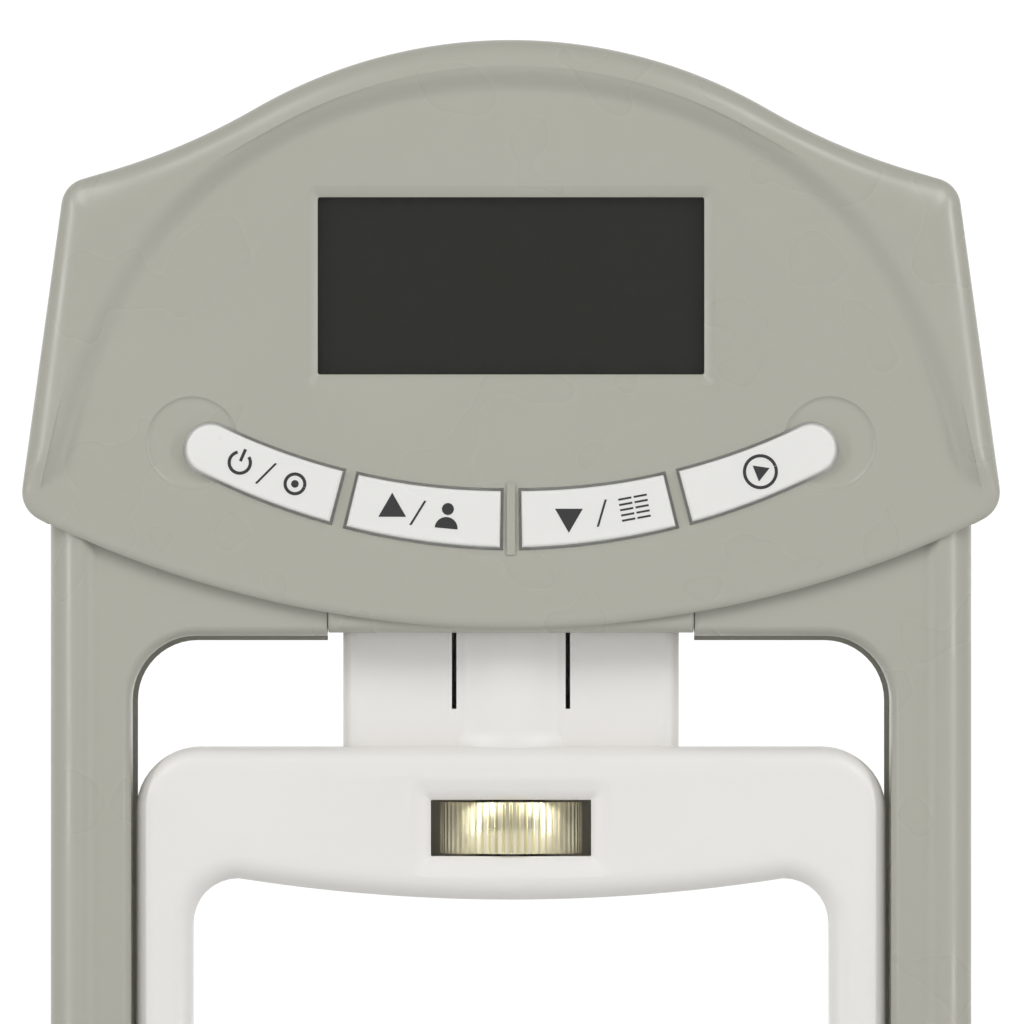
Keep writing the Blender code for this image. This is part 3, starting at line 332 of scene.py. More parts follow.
def valley_outline():
    """The line where the rim's inner slope meets the flat face."""
    radius = CHIN_RADIUS - CHIN_VALLEY_INSET
    chin_edge = math.degrees(math.asin((VALLEY_FOOT[0] - 1.5 * MM) / radius))
    chin = arc(0, CHIN_Z, radius, -90, -90 + chin_edge, CHIN_STEPS)
    side = bezier(
        VALLEY_FOOT, (55.4 * MM, 149.5 * MM), (50.7 * MM, 162.5 * MM), VALLEY_SHOULDER, 24
    )
    top = bezier(
        VALLEY_SHOULDER, (31.1 * MM, 182.5 * MM), (16 * MM, VALLEY_TOP[1]), VALLEY_TOP, 28
    )
    return mirrored(chin + side + top[1:])


def matched(points, outline):
    """For each point, the place on an outline in the same direction from the head's middle."""
    middle = Vector(HEAD_MIDDLE)
    spokes = []
    for place in outline:
        spoke = Vector(place) - middle
        spokes.append((math.atan2(spoke.y, spoke.x), spoke.length))
    spokes.sort()
    turn = 2 * math.pi
    last = (spokes[-1][0] - turn, spokes[-1][1])
    first = (spokes[0][0] + turn, spokes[0][1])
    spokes = [last] + spokes + [first]
    found = []
    for place in points:
        spoke = Vector(place) - middle
        angle = math.atan2(spoke.y, spoke.x)
        for (low, near), (high, far) in zip(spokes, spokes[1:]):
            if low <= angle <= high:
                share = (angle - low) / (high - low) if high > low else 0
                found.append(tuple(middle + spoke.normalized() * (near + (far - near) * share)))
                break
    return found


def chin_line(raise_by, half_width, steps):
    radius = CHIN_RADIUS - raise_by
    sweep = math.degrees(math.asin(half_width / radius))
    return arc(0, CHIN_Z, radius, -90 + sweep, -90 - sweep, steps)


def rail_outline(shrink):
    """The frame's outside below the head, moved in at its sides and bottom."""
    half_width = FRAME_HALF_WIDTH - shrink
    top = chin_line(WEB_HEIGHT, half_width, 30)
    right = (half_width, shrink)
    left = (-half_width, shrink)
    radius = FRAME_CORNER - shrink
    bottom_left = rounded_corner(top[-1], left, right, radius, 14)
    bottom_right = rounded_corner(left, right, top[0], radius, 14)
    return bottom_left + bottom_right + top


def bay_outline(grow, shift=0):
    grow += shift
    low = (-BAY_HALF_WIDTH - grow, BAY_BOTTOM - grow)
    high = (BAY_HALF_WIDTH + grow, BAY_TOP + grow)
    bottom = BAY_BOTTOM_CORNER + grow
    top = BAY_TOP_CORNER + grow
    return rounded_rectangle(low, high, (bottom, bottom, top, top), 12)


def grip_outline(shrink):
    low = (-GRIP_HALF_WIDTH + shrink, GRIP_BOTTOM + shrink)
    high = (GRIP_HALF_WIDTH - shrink, GRIP_TOP - shrink)
    return rounded_rectangle(low, high, [GRIP_CORNER - shrink] * 4, 12)


def window_outline(grow):
    """The finger window, whose upper edge dips in the middle."""
    dip_half_width = WINDOW_HALF_WIDTH - WINDOW_CORNER
    dip_radius = (dip_half_width**2 + WINDOW_DIP**2) / (2 * WINDOW_DIP)
    sweep = math.degrees(math.asin(dip_half_width / dip_radius))
    dip_z = WINDOW_TOP - WINDOW_DIP + dip_radius
    dip = arc(0, dip_z, dip_radius, -90 + sweep, -90 - sweep, 24)
    low = (-WINDOW_HALF_WIDTH, WINDOW_BOTTOM)
    high = (WINDOW_HALF_WIDTH, WINDOW_TOP)
    right = rounded_corner((high[0], low[1]), high, (0, high[1]), WINDOW_CORNER)
    left = rounded_corner((0, high[1]), (low[0], high[1]), low, WINDOW_CORNER)
    bottom_left = rounded_corner((low[0], high[1]), low, (0, low[1]), WINDOW_CORNER)
    bottom_right = rounded_corner(low, (high[0], low[1]), high, WINDOW_CORNER)
    return inset(bottom_left + bottom_right + right[:-1] + dip + left[1:], -grow)


def knob_window_outline(grow, narrowing):
    half_width = KNOB_WINDOW_HALF_WIDTH - narrowing + grow
    rise = grow - narrowing / 4
    low = (-half_width, KNOB_WINDOW_BOTTOM - rise)
    high = (half_width, KNOB_WINDOW_TOP + rise)
    return rounded_rectangle(low, high, [0.2 * MM + grow / 2] * 4, 4)


def lcd_outline(grow):
    low = (-LCD_HALF_WIDTH - grow, LCD_BOTTOM - grow)
    high = (LCD_HALF_WIDTH + grow, LCD_TOP + grow)
    return rounded_rectangle(low, high, [0.3 * MM + grow / 2] * 4, 4)


def key_outline(grow, span, side, rounded):
    """One key of the arc-shaped row, counter-clockwise; side is 1 on the right, -1 on the left."""
    first, last = span
    lean = math.degrees(grow / KEY_RADIUS)
    first -= lean
    if not rounded:
        last += lean

    def at(angle, offset):
        reach = KEY_RADIUS + offset
        turn = math.radians(angle)
        return (reach * math.sin(turn), KEY_CENTRE_Z - reach * math.cos(turn))

    def half_height(angle):
        taper = (KEY_HALF_HEIGHT - KEY_END_HALF_HEIGHT) * angle / KEY_OUTER[1]
        return KEY_HALF_HEIGHT - taper + grow

    steps = 14
    angles = [first + (last - first) * index / steps for index in range(steps + 1)]
    points = [at(angle, half_height(angle)) for angle in angles]
    if rounded:
        points += arc(*at(last, 0), half_height(last), last - 90, last + 90, 16)[1:-1]
    points += [at(angle, -half_height(angle)) for angle in reversed(angles)]
    if side < 0:
        points = [(-x, z) for x, z in reversed(points)]
    return points


# ---------------------------------------------------------------- solids


def add_object(name, data):
    obj = bpy.data.objects.new(name, data)
    bpy.context.scene.collection.objects.link(obj)
    return obj


def skin(rings, endless=False):
    """Points and faces of a body through rings, capped at both ends or joined end to end."""
    count = len(rings[0])
    points = [tuple(point) for ring in rings for point in ring]
    faces = []
    for span in range(len(rings) if endless else len(rings) - 1):
        here = span * count
        there = (span + 1) % len(rings) * count
        for index in range(count):
            after = (index + 1) % count
            faces.append((here + index, here + after, there + after, there + index))
    if not endless:
        faces.append(tuple(range(count))[::-1])
        faces.append(tuple(range(len(points) - count, len(points))))
    return points, faces


def add_mesh(name, points, faces):
    """An object from points and faces, with every face turned outwards."""
    mesh = bpy.data.meshes.new(name)
    mesh.from_pydata(points, [], faces)
    shape = bmesh.new()
    shape.from_mesh(mesh)
    bmesh.ops.recalc_face_normals(shape, faces=shape.faces)
    shape.to_mesh(mesh)
    shape.free()
    return add_object(name, mesh)


def loft(name, rings, endless=False):
    return add_mesh(name, *skin(rings, endless))


def at_depth(outline, y):
    return [(x, y, z) for x, z in outline]


def at_height(outline, z):
    return [(x, y, z) for x, y in outline]


def loft_through(name, outline_at, plan):
    """A body through outlines that change in size; the plan holds pairs of size and depth."""
    return loft(name, [at_depth(outline_at(size), y) for size, y in plan])


def prism(name, outline, front, back):
    return loft(name, [at_depth(outline, front), at_depth(outline, back)])


def block(name, low, high):
    outline = [(low[0], low[2]), (high[0], low[2]), (high[0], high[2]), (low[0], high[2])]
    return prism(name, outline, low[1], high[1])


def circle(radius, steps=32):
    angles = [2 * math.pi * index / steps for index in range(steps)]
    return [(radius * math.cos(angle), radius * math.sin(angle)) for angle in angles]


def along_y(name, radius, x, z, front, back, steps=32):
    return prism(name, [(x + u, z + v) for u, v in circle(radius, steps)], front, back)


def turned(name, profile, base, direction, steps=48, endless=False):
    """A body turned from radius-height pairs about an axis that starts at base."""
    turn = Vector(direction).to_track_quat("Z", "Y")
    rings = []
    for radius, height in profile:
        ring = []
        for u, v in circle(max(radius, MM / 100), steps):
            ring.append(Vector(base) + turn @ Vector((u, v, height)))
        rings.append(ring)
    return loft(name, rings, endless)


def flared(name, outline_at, front, back, radius, depth):
    """A cutter that leaves a rounded edge where it meets the front and back planes."""
    slip = MM / 50
    edge = [(radius * (1 - rise), depth * reach - slip) for reach, rise in roll(7)]
    plan = [(radius, front - 2 * MM)]
    plan += [(grow, front + sink) for grow, sink in edge]
    plan += [(grow, back - sink) for grow, sink in reversed(edge)]
    plan.append((radius, back + 2 * MM))
    return loft_through(name, outline_at, plan)


def settle(obj):
    """Make a piece's modifiers part of its mesh."""
    depsgraph = bpy.context.evaluated_depsgraph_get()
    mesh = bpy.data.meshes.new_from_object(obj.evaluated_get(depsgraph))
    obj.modifiers.clear()
    obj.data = mesh
    return obj


def combine(obj, others, operation):
    group = bpy.data.collections.new("operands")
    bpy.context.scene.collection.children.link(group)
    for other in others:
        bpy.context.scene.collection.objects.unlink(other)
        group.objects.link(other)
    step = obj.modifiers.new(operation, "BOOLEAN")
    step.operation = operation
    step.solver = "MANIFOLD"
    step.operand_type = "COLLECTION"
    step.collection = group
    settle(obj)
    for other in others:
        bpy.data.objects.remove(other)
    bpy.data.collections.remove(group)
    return obj


def cut(obj, *others):
    return combine(obj, others, "DIFFERENCE")


def fuse(obj, *others):
    return combine(obj, others, "UNION")


def finish(obj, body, slot, *nodes, sharp=32):
    """Shade a piece, give it its slot's material, tie it to its body and hide the CAD nodes it
    stands for.
    """
    obj.data.materials.clear()
    obj.data.materials.append(PAINT[slot])
    obj.data.shade_smooth()
    obj.data.set_sharp_from_angle(angle=math.radians(sharp))
    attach(obj, body)
    if nodes:
        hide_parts(*nodes)
    return obj


def both_sides(places):
    found = []
    for order, (x, z) in enumerate(places, start=1):
        found += [(f"{order}_right", x, z), (f"{order}_left", -x, z)]
    return found


def rods(name, places, radius, front, back):
    """Round bars along Y at places on both sides, for posts and for screw holes."""
    made = []
    for label, x, z in both_sides(places):
        made.append(along_y(f"{name}_{label}", radius, x, z, front, back))
    return made


def counterbores(name, places, radius, floor, rim, flare, face):
    """Holes for screw heads, flaring from the rim to past the face."""
    profile = [(radius, floor), (radius, rim), (flare, face)]
    made = []
    for label, x, z in both_sides(places):
        made.append(turned(f"{name}_{label}", profile, (x, 0, z), (0, 1, 0)))
    return made


# ---------------------------------------------------------------- materials

NOISE_RANGE = (0.3, 0.7)


class Nodes:
    """Short spelling for building a material's node tree."""

    def __init__(self, name):
        self.material = bpy.data.materials.new(name)
        self.material.use_nodes = True
        self.tree = self.material.node_tree
        self.shader = self.tree.nodes["Principled BSDF"]
        self.place = self.add("ShaderNodeTexCoord").outputs["Object"]

    def add(self, kind, **settings):
        node = self.tree.nodes.new(kind)
        for key, value in settings.items():
            setattr(node, key, value)
        return node

    def link(self, output, target):
        self.tree.links.new(output, target)

    def set(self, name, value):
        self.shader.inputs[name].default_value = value

    def moved(self, **settings):
        """The object's own coordinates, scaled or rotated."""
        mapping = self.add("ShaderNodeMapping")
        for key, value in settings.items():
            mapping.inputs[key].default_value = value
        self.link(self.place, mapping.inputs["Vector"])
        return mapping.outputs["Vector"]

    def noise(self, scale, detail=3.0, stretch=None):
        node = self.add("ShaderNodeTexNoise")
        node.inputs["Scale"].default_value = scale
        node.inputs["Detail"].default_value = detail
        self.link(self.moved(Scale=stretch) if stretch else self.place, node.inputs["Vector"])
        return node.outputs["Fac"]

    def bricks(self, scale, mortar, smooth=0.1, **settings):
        """A brick pattern that stands in the XZ plane."""
        node = self.add("ShaderNodeTexBrick", **settings)
        node.inputs["Scale"].default_value = scale
        node.inputs["Mortar Size"].default_value = mortar
        node.inputs["Mortar Smooth"].default_value = smooth
        self.link(self.moved(Rotation=(math.pi / 2, 0, 0)), node.inputs["Vector"])
        return node.outputs["Fac"]

    def ramp(self, value, low, high):
        """Colours from low to high over the middle of a noise's range."""
        node = self.add("ShaderNodeValToRGB")
        first, last = node.color_ramp.elements
        first.position, last.position = NOISE_RANGE
        first.color = (*low, 1)
        last.color = (*high, 1)
        self.link(value, node.inputs["Fac"])
        return node.outputs["Color"]

    def span(self, value, low, high):
        """Numbers from low to high over the middle of a noise's range."""
        node = self.add("ShaderNodeMapRange")
        for key, setting in zip(("From Min", "From Max"), NOISE_RANGE):
            node.inputs[key].default_value = setting
        node.inputs["To Min"].default_value = low
        node.inputs["To Max"].default_value = high
        self.link(value, node.inputs["Value"])
        return node.outputs["Result"]

    def mix(self, factor, under, colour):
        """A colour laid over an output where the factor is 1."""
        node = self.add("ShaderNodeMix", data_type="RGBA")
        self.link(factor, node.inputs["Factor"])
        self.link(under, node.inputs[6])
        node.inputs[7].default_value = (*colour, 1)
        return node.outputs[2]

    def compute(self, operation, value, second=0.5):
        node = self.add("ShaderNodeMath", operation=operation)
        self.link(value, node.inputs[0])
        node.inputs[1].default_value = second
        return node.outputs[0]

    def bump(self, height, distance, strength=1.0):
        node = self.add("ShaderNodeBump")
        node.inputs["Distance"].default_value = distance
        node.inputs["Strength"].default_value = strength
        self.link(height, node.inputs["Height"])
        self.link(node.outputs["Normal"], self.shader.inputs["Normal"])

    def colour(self, output):
        self.link(output, self.shader.inputs["Base Color"])

    def roughness(self, output):
        self.link(output, self.shader.inputs["Roughness"])


def shade(colour, factor):
    return tuple(channel * factor for channel in colour)


def moulded(name, colour, low_rough, high_rough, grain=0.000006, handling=0.02):
    """Injection-moulded plastic: fine grain, faint flow clouds and an uneven sheen."""
    made = Nodes(name)
    low_tint = shade(colour, 1 - handling / 2)
    made.colour(made.ramp(made.noise(28, 4), low_tint, shade(colour, 1 + handling / 2)))
    made.roughness(made.span(made.noise(90, 1), low_rough, high_rough))
    made.bump(made.noise(900, 2), grain, 0.5)
    made.set("Specular IOR Level", 0.45)
    return made.material


def metal(name, colour, low_rough, high_rough, stretch=(1, 1, 1), scale=900, grain=0.00001):
    """Machined or plated metal with drawn streaks and dulled patches."""
    made = Nodes(name)
    made.set("Metallic", 1.0)
    streaks = made.noise(scale, 6, stretch)
    made.colour(made.ramp(streaks, shade(colour, 0.8), shade(colour, 1.06)))
    made.roughness(made.span(made.noise(260, 5), low_rough, high_rough))
    made.bump(streaks, grain, 0.6)
    return made.material


def board_material():
    """Solder mask with traces showing through it."""
    made = Nodes("board_mask")
    traces = made.bricks(170, 0.09, 0.3, offset=0.37, squash=1.7)
    mask = made.ramp(made.noise(60, 4), (0.012, 0.09, 0.03), (0.02, 0.13, 0.045))
    made.colour(made.mix(traces, mask, (0.035, 0.2, 0.07)))
    made.roughness(made.span(made.noise(300, 3), 0.28, 0.45))
    made.bump(traces, 0.00003)
    return made.material


def wrap_material():
    """Plain battery wrap: a dark body, a pale band at each end and bare metal ends."""
    made = Nodes("battery_wrap_print")
    across = made.add("ShaderNodeSeparateXYZ")
    made.link(made.place, across.inputs["Vector"])
    from_middle = made.compute("ABSOLUTE", across.outputs["X"])
    in_band = made.compute("GREATER_THAN", from_middle, 15.5 * MM)
    in_end = made.compute("GREATER_THAN", from_middle, 21.4 * MM)
    body = made.ramp(made.noise(300, 3), (0.012, 0.02, 0.05), (0.02, 0.032, 0.075))
    striped = made.mix(in_band, body, (0.55, 0.5, 0.4))
    made.colour(made.mix(in_end, striped, (0.6, 0.6, 0.58)))
    made.roughness(made.span(made.noise(500, 3), 0.22, 0.36))
    made.bump(made.noise(1500, 2), 0.00001)
    return made.material


def lens_material():
    """Clear acrylic window with a light smoke tint and fine wiping marks."""
    made = Nodes("display_window")
    made.set("Base Color", (0.03, 0.03, 0.027, 1))
    made.set("Alpha", 0.28)
    made.set("IOR", 1.49)
    made.roughness(made.span(made.noise(700, 5, (1, 1, 4)), 0.06, 0.16))
    made.bump(made.noise(120, 2), 0.00001, 0.3)
    return made.material


def display_material():
    """Unlit liquid-crystal glass: dark olive, with a faint grid and a soft drift in tone."""
    made = Nodes("display_glass")
    grid = made.bricks(420, 0.04, offset=0.0)
    tone = made.ramp(made.noise(18, 2), (0.04, 0.041, 0.031), (0.047, 0.048, 0.037))
    made.colour(made.mix(grid, tone, (0.026, 0.026, 0.021)))
    made.roughness(made.span(made.noise(800, 3), 0.3, 0.42))
    made.bump(made.noise(2400, 2), 0.00001, 0.4)
    return made.material


HOUSING = (0.39, 0.387, 0.335)
GRIP = (0.76, 0.745, 0.72)
KEYS = (0.75, 0.745, 0.725)
BRASS = (0.97, 0.92, 0.7)

PAINT = {
    "housing_plastic": moulded("housing_shell", HOUSING, 0.25, 0.35),
    "grip_plastic": moulded("grip_shell", GRIP, 0.3, 0.42, 0.000005, 0.03),
    "key_plastic": moulded("key_cap", KEYS, 0.26, 0.36, 0.000005, 0.03),
    "inner_plastic": moulded("inner_moulding", (0.03, 0.03, 0.03), 0.42, 0.58),
    "silicone_rubber": moulded("silicone", (0.2, 0.2, 0.195), 0.6, 0.8, 0.00003),
    "lead_sheath": moulded("lead_sheath_coat", (0.45, 0.03, 0.025), 0.35, 0.5),
    "display_lens": lens_material(),
    "display_glass": display_material(),
    "circuit_board": board_material(),
    "battery_wrap": wrap_material(),
    "brass": metal("wheel_brass", BRASS, 0.26, 0.42, (1, 1, 0.04), 1100),
    "screw_steel": metal("screw_steel_plate", (0.5, 0.49, 0.46), 0.2, 0.4),
    "plated_steel": metal("nickel_plate", (0.68, 0.67, 0.64), 0.16, 0.34),
    "cell_aluminium": metal("cell_mill_finish", (0.72, 0.73, 0.74), 0.25, 0.42, (0.05, 1, 1)),
}


# ---------------------------------------------------------------- head


def head_cover_body():
    """Silhouette, rolled edge, rim crest, inner slope and flat face, as one loft."""
    outside = head_outline()
    crest = crest_outline()
    valley = matched(crest, valley_outline())
    crest_depths = []
    roll_ends = []
    for x, z in crest:
        rim = soft_step(z, *RIM_FADE)
        crest_depths.append(FACE_Y + (-HEAD_HALF_DEPTH - FACE_Y) * rim)
        ridge = soft_step(abs(x), *RIDGE_X_FADE) * soft_step(z, *RIDGE_Z_FADE)
        dome = soft_step(z, *DOME_FADE)
        roll_ends.append(math.radians(90 - RIDGE_SHORTFALL * ridge - DOME_SHORTFALL * dome))
    edge_y = -HEAD_HALF_DEPTH + HEAD_EDGE
    rings = [at_depth(outside, -SEAM), at_depth(outside, -8 * MM), at_depth(outside, edge_y)]
    roll_steps = 9
    rolls = [roll(roll_steps, end) for end in roll_ends]
    for step in range(1, roll_steps + 1):
        ring = []
        for outer, inner, depth, shares in zip(outside, crest, crest_depths, rolls):
            reach, rise = shares[step]
            x, z = Vector(outer).lerp(Vector(inner), reach)
            ring.append((x, edge_y + (depth - edge_y) * rise, z))
        rings.append(ring)
    slope_steps = 14
    for step in range(1, slope_steps + 1):
        share = step / slope_steps
        ring = []
        for inner, foot, depth in zip(crest, valley, crest_depths):
            place = Vector(inner).lerp(Vector(foot), share)
            bank = soft_step((place - Vector(foot)).length, 0, BANK_WIDTH)
            shoulder = soft_step(1 - share, 0, 1)
            height = BANK_SHARE * bank + (1 - BANK_SHARE) * shoulder
            ring.append((place.x, FACE_Y + (depth - FACE_Y) * height, place.y))
        rings.append(ring)
    flat = [tuple(Vector(place).lerp(Vector(HEAD_MIDDLE), 0.012)) for place in valley]
    rings.append(at_depth(flat, FACE_Y))
    return loft("head_front_shell", rings)


def dimple(label, x, z):
    """Shallow round finger rest beside the row's end."""
    rim = DIMPLE_RADIUS + 0.15 * MM
    profile = [(rim, 2 * MM), (rim, 0)]
    steps = 8
    for index in range(1, steps + 1):
        share = index / steps
        profile.append((DIMPLE_RADIUS * (1 - share**2 * 0.8), -DIMPLE_DEPTH * share**0.5))
    return turned(f"dimple_{label}", profile, (x, FACE_Y, z), (0, -1, 0), 64)


def frame_way(name):
    """Room in the head for the frame's upper end."""
    room = FRAME_HALF_WIDTH + GAP
    depth = FRAME_HALF_DEPTH + GAP
    return block(name, (-room, -depth, 112.9 * MM), (room, depth, 136.6 * MM))


def key_plan():
    """Node, body and outline of each key, the outline as a function of its growth."""
    plan = []
    for name, body, span, side, rounded in (
        ("key_power", "power_key", KEY_OUTER, -1, True),
        ("key_up", "up_key", KEY_INNER, -1, False),
        ("key_down", "down_key", KEY_INNER, 1, False),
        ("key_start", "start_key", KEY_OUTER, 1, True),
    ):
        outline_at = partial(key_outline, span=span, side=side, rounded=rounded)
        plan.append((name, body, outline_at))
    return plan


def head_cover():
    cover = head_cover_body()
    cavity = prism("cover_cavity", inset(head_outline(), WALL), INNER_FACE_Y, FAR)
    cut(cover, cavity, frame_way("cover_frame_way"))
    rib_half = 0.55 * MM
    rib_low = (-rib_half, FACE_Y - 0.22 * MM, 127.6 * MM)
    rib = block("centre_rib", rib_low, (rib_half, FACE_Y + MM, 137 * MM))
    fuse(cover, rib, *rods("cover_post", HEAD_SCREWS, 3 * MM, -13.1 * MM, -SEAM))
    holes = rods("cover_pilot", HEAD_SCREWS, PILOT_RADIUS, -10 * MM, FAR)
    for side in (1, -1):
        holes.append(dimple(side, side * DIMPLE[0], DIMPLE[1]))
    lcd_plan = (
        (LCD_BEVEL + 0.25 * MM, FACE_Y - MM),
        (LCD_BEVEL + 0.25 * MM, FACE_Y - MM / 50),
        (LCD_BEVEL, FACE_Y + 0.08 * MM),
        (0.15 * MM, FACE_Y + 0.55 * MM),
        (0, FACE_Y + 0.68 * MM),
        (0, FAR),
    )
    holes.append(loft_through("display_opening", lcd_outline, lcd_plan))
    for name, body, outline_at in key_plan():
        holes.append(prism(f"{name}_opening", outline_at(KEY_GAP), -FAR, -11 * MM))
    cut(cover, *holes)
    finish(cover, "housing", "housing_plastic", "head_cover")


def head_back():
    outside = head_outline()
    edge_y = HEAD_HALF_DEPTH - HEAD_EDGE
    plan = [(0, SEAM)]
    plan += [(HEAD_EDGE * reach, edge_y + HEAD_EDGE * rise) for reach, rise in roll(8)]
    plan.append((HEAD_EDGE + 0.4 * MM, HEAD_HALF_DEPTH))
    cover = loft_through("head_rear_shell", partial(inset, outside), plan)
    cavity = prism("back_cavity", inset(outside, WALL), -FAR, HEAD_HALF_DEPTH - WALL)
    cut(cover, cavity, frame_way("back_frame_way"))
    posts = []
    for label, x, z in both_sides(HEAD_SCREWS):
        inner = FRAME_HALF_DEPTH + GAP if z < DECK_TOP else 3 * MM
        posts.append(along_y(f"back_post_{label}", 3.6 * MM, x, z, inner, 14 * MM))
    fuse(cover, *posts)
    holes = rods("back_hole", HEAD_SCREWS, CLEARANCE_RADIUS, -FAR, FAR)
    holes += counterbores(
        "back_counterbore", HEAD_SCREWS, 2.9 * MM, 13.7 * MM, 15.2 * MM, 3.3 * MM, 15.6 * MM
    )
    low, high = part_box("battery_door")
    side = high.x + GAP
    foot = low.z + 1.1 * MM
    opening = rounded_rectangle((-side, foot), (side, high.z + GAP), [1.2 * MM] * 4, 5)
    cut(cover, prism("battery_opening", opening, 13 * MM, FAR), *holes)
    finish(cover, "housing", "housing_plastic", "head_back")


# ---------------------------------------------------------------- frame


def rail_body(name, side):
    """Outer shell of one frame half: rounded outside edge, low crest, then a flat band."""
    face = FRAME_HALF_DEPTH
    plan = [(0, SEAM)]
    for reach, rise in roll(9, math.radians(74)):
        plan.append((RAIL_CREST_INSET * reach, RAIL_EDGE_Y + (face - RAIL_EDGE_Y) * rise))
    steps = 7
    for index in range(1, steps + 1):
        share = index / steps
        sink = RAIL_SINK * soft_step(share, 0, 1)
        plan.append((RAIL_CREST_INSET + RAIL_SLOPE * share, face - sink))
    plan.append((RAIL_CREST_INSET + RAIL_SLOPE + 0.5 * MM, face - RAIL_SINK))
    return loft_through(name, rail_outline, [(shrink, side * depth) for shrink, depth in plan])


def frame_half(name, side):
    piece = rail_body(name, side)
    face = FRAME_HALF_DEPTH - RAIL_SINK
    if side > 0:
        deck = bar_shape((-DECK_HALF_WIDTH, DECK_BOTTOM), (DECK_HALF_WIDTH, DECK_TOP))
        fuse(piece, prism(f"{name}_deck", deck, SEAM, face))
    depth = face - WALL
    cavity = prism(f"{name}_cavity", rail_outline(WALL), -depth, depth)
    cut(cavity, prism(f"{name}_liner", bay_outline(WALL), -FAR, FAR))
    if side > 0:
        bay = prism(f"{name}_bay", bay_outline(0), -FAR, REAR_LIP_Y)
        lip = partial(bay_outline, shift=-REAR_LIP)
        fuse(bay, flared(f"{name}_mouth", lip, -face, face, MM, MM))
    else:
        bay = flared(f"{name}_bay", bay_outline, -face, face, 1.5 * MM, 2.2 * MM)
    half = BUSH_HALF_WIDTH + SEAM / 2
    seat_top = BUSH_TOP + (GAP if side > 0 else WEB_HEIGHT)
    seat = block(f"{name}_seat", (-half, -FAR, BAY_TOP - 5 * MM), (half, FAR, seat_top))
    cut(piece, cavity, bay, seat)
    ends = sorted((side * 11 * MM, side * SEAM))
    fuse(piece, *rods(f"{name}_post", FRAME_SCREWS, 3.4 * MM, *ends))
    return piece


def frame_front():
    piece = frame_half("frame_front_shell", -1)
    cut(piece, *rods("front_pilot", FRAME_SCREWS, PILOT_RADIUS, -8 * MM, FAR))
    finish(piece, "housing", "housing_plastic", "frame_front")


def frame_rear():
    piece = frame_half("frame_rear_shell", 1)
    cell_low, cell_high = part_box("load_cell")
    wall = 1.9 * MM
    room_low = (-DECK_HALF_WIDTH + wall, -FAR, 126.6 * MM)
    room_high = (DECK_HALF_WIDTH - wall, FRAME_HALF_DEPTH - 2.4 * MM, DECK_TOP - wall)
    notch_low = (cell_low.x - MM, -FAR, cell_high.z - MM)
    notch_high = (cell_high.x + MM, 10 * MM, DECK_TOP + MM)
    holes = [block("deck_room", room_low, room_high), block("cell_notch", notch_low, notch_high)]
    holes += rods("rear_hole", FRAME_SCREWS, CLEARANCE_RADIUS, -FAR, FAR)
    holes += rods("deck_hole", HEAD_SCREWS[:1], CLEARANCE_RADIUS, -FAR, FAR)
    holes += counterbores(
        "rear_counterbore", FRAME_SCREWS, 2.9 * MM, 11 * MM, 11.8 * MM, 3.2 * MM, 12.6 * MM
    )
    cut(piece, *holes)
    seat_low = (cell_low.x, cell_high.y + GAP, cell_low.z)
    seat_high = (-25 * MM, FRAME_HALF_DEPTH - MM, cell_high.z)
    fuse(piece, block("cell_seat", seat_low, seat_high))
    finish(piece, "housing", "housing_plastic", "frame_rear")


def tongue_outline(half_width, depth, steps=20):
    """The tongue seen from above: two shallow bows back to back."""
    edge = GUIDE_HALF_DEPTH - 0.4 * MM
    bow = depth - edge
    radius = (half_width**2 + bow**2) / (2 * bow)
    sweep = math.degrees(math.asin(half_width / radius))
    front = arc(0, radius - depth, radius, -90 - sweep, -90 + sweep, steps)
    rear = arc(0, depth - radius, radius, 90 - sweep, 90 + sweep, steps)
    return front + rear


def guide_bush():
    """Collar in the upper web, with a softened lower edge round the guide's way."""
    low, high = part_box("guide_bush")
    edge = 1.6 * MM
    plan = [(0, high.z)]
    plan += [(edge * reach, low.z + edge * (1 - rise)) for reach, rise in roll(6)]
    rings = []
    for shrink, z in plan:
        corner = (high.x - shrink / 8, high.y - shrink)
        outline = rounded_rectangle((-corner[0], -corner[1]), corner, [0.8 * MM] * 4, 4)
        rings.append(at_height(outline, z))
    bush = loft("guide_collar", rings)
    bottom = low.z - MM
    top = high.z + MM
    half_width = GUIDE_HALF_WIDTH + GAP
    half_depth = GUIDE_HALF_DEPTH + GAP
    way = block("guide_way", (-half_width, -half_depth, bottom), (half_width, half_depth, top))
    tongue = tongue_outline(TONGUE_RADIUS + GAP, TONGUE_RADIUS + GAP)
    cut(bush, way, loft("tongue_way", [at_height(tongue, z) for z in (bottom, top)]))
    finish(bush, "housing", "housing_plastic", "guide_bush")


# ---------------------------------------------------------------- grip


def grip_shell(name):
    """The ring's rounded outside, both halves in one."""
    inwards = 2.4 * MM
    height = 2.6 * MM
    edge_y = GRIP_HALF_DEPTH - height
    half = [(inwards * reach, edge_y + height * rise) for reach, rise in roll(9)]
    half.append((inwards + 0.4 * MM, GRIP_HALF_DEPTH))
    front = [(shrink, -depth) for shrink, depth in reversed(half)]
    return loft_through(name, grip_outline, front + half)


def guide_body(name):
    high = (GUIDE_HALF_WIDTH, GUIDE_HALF_DEPTH)
    outline = rounded_rectangle((-high[0], -high[1]), high, [GUIDE_EDGE] * 4, 8)
    return loft(name, [at_height(outline, z) for z in (GRIP_TOP - 8 * MM, GUIDE_TOP)])


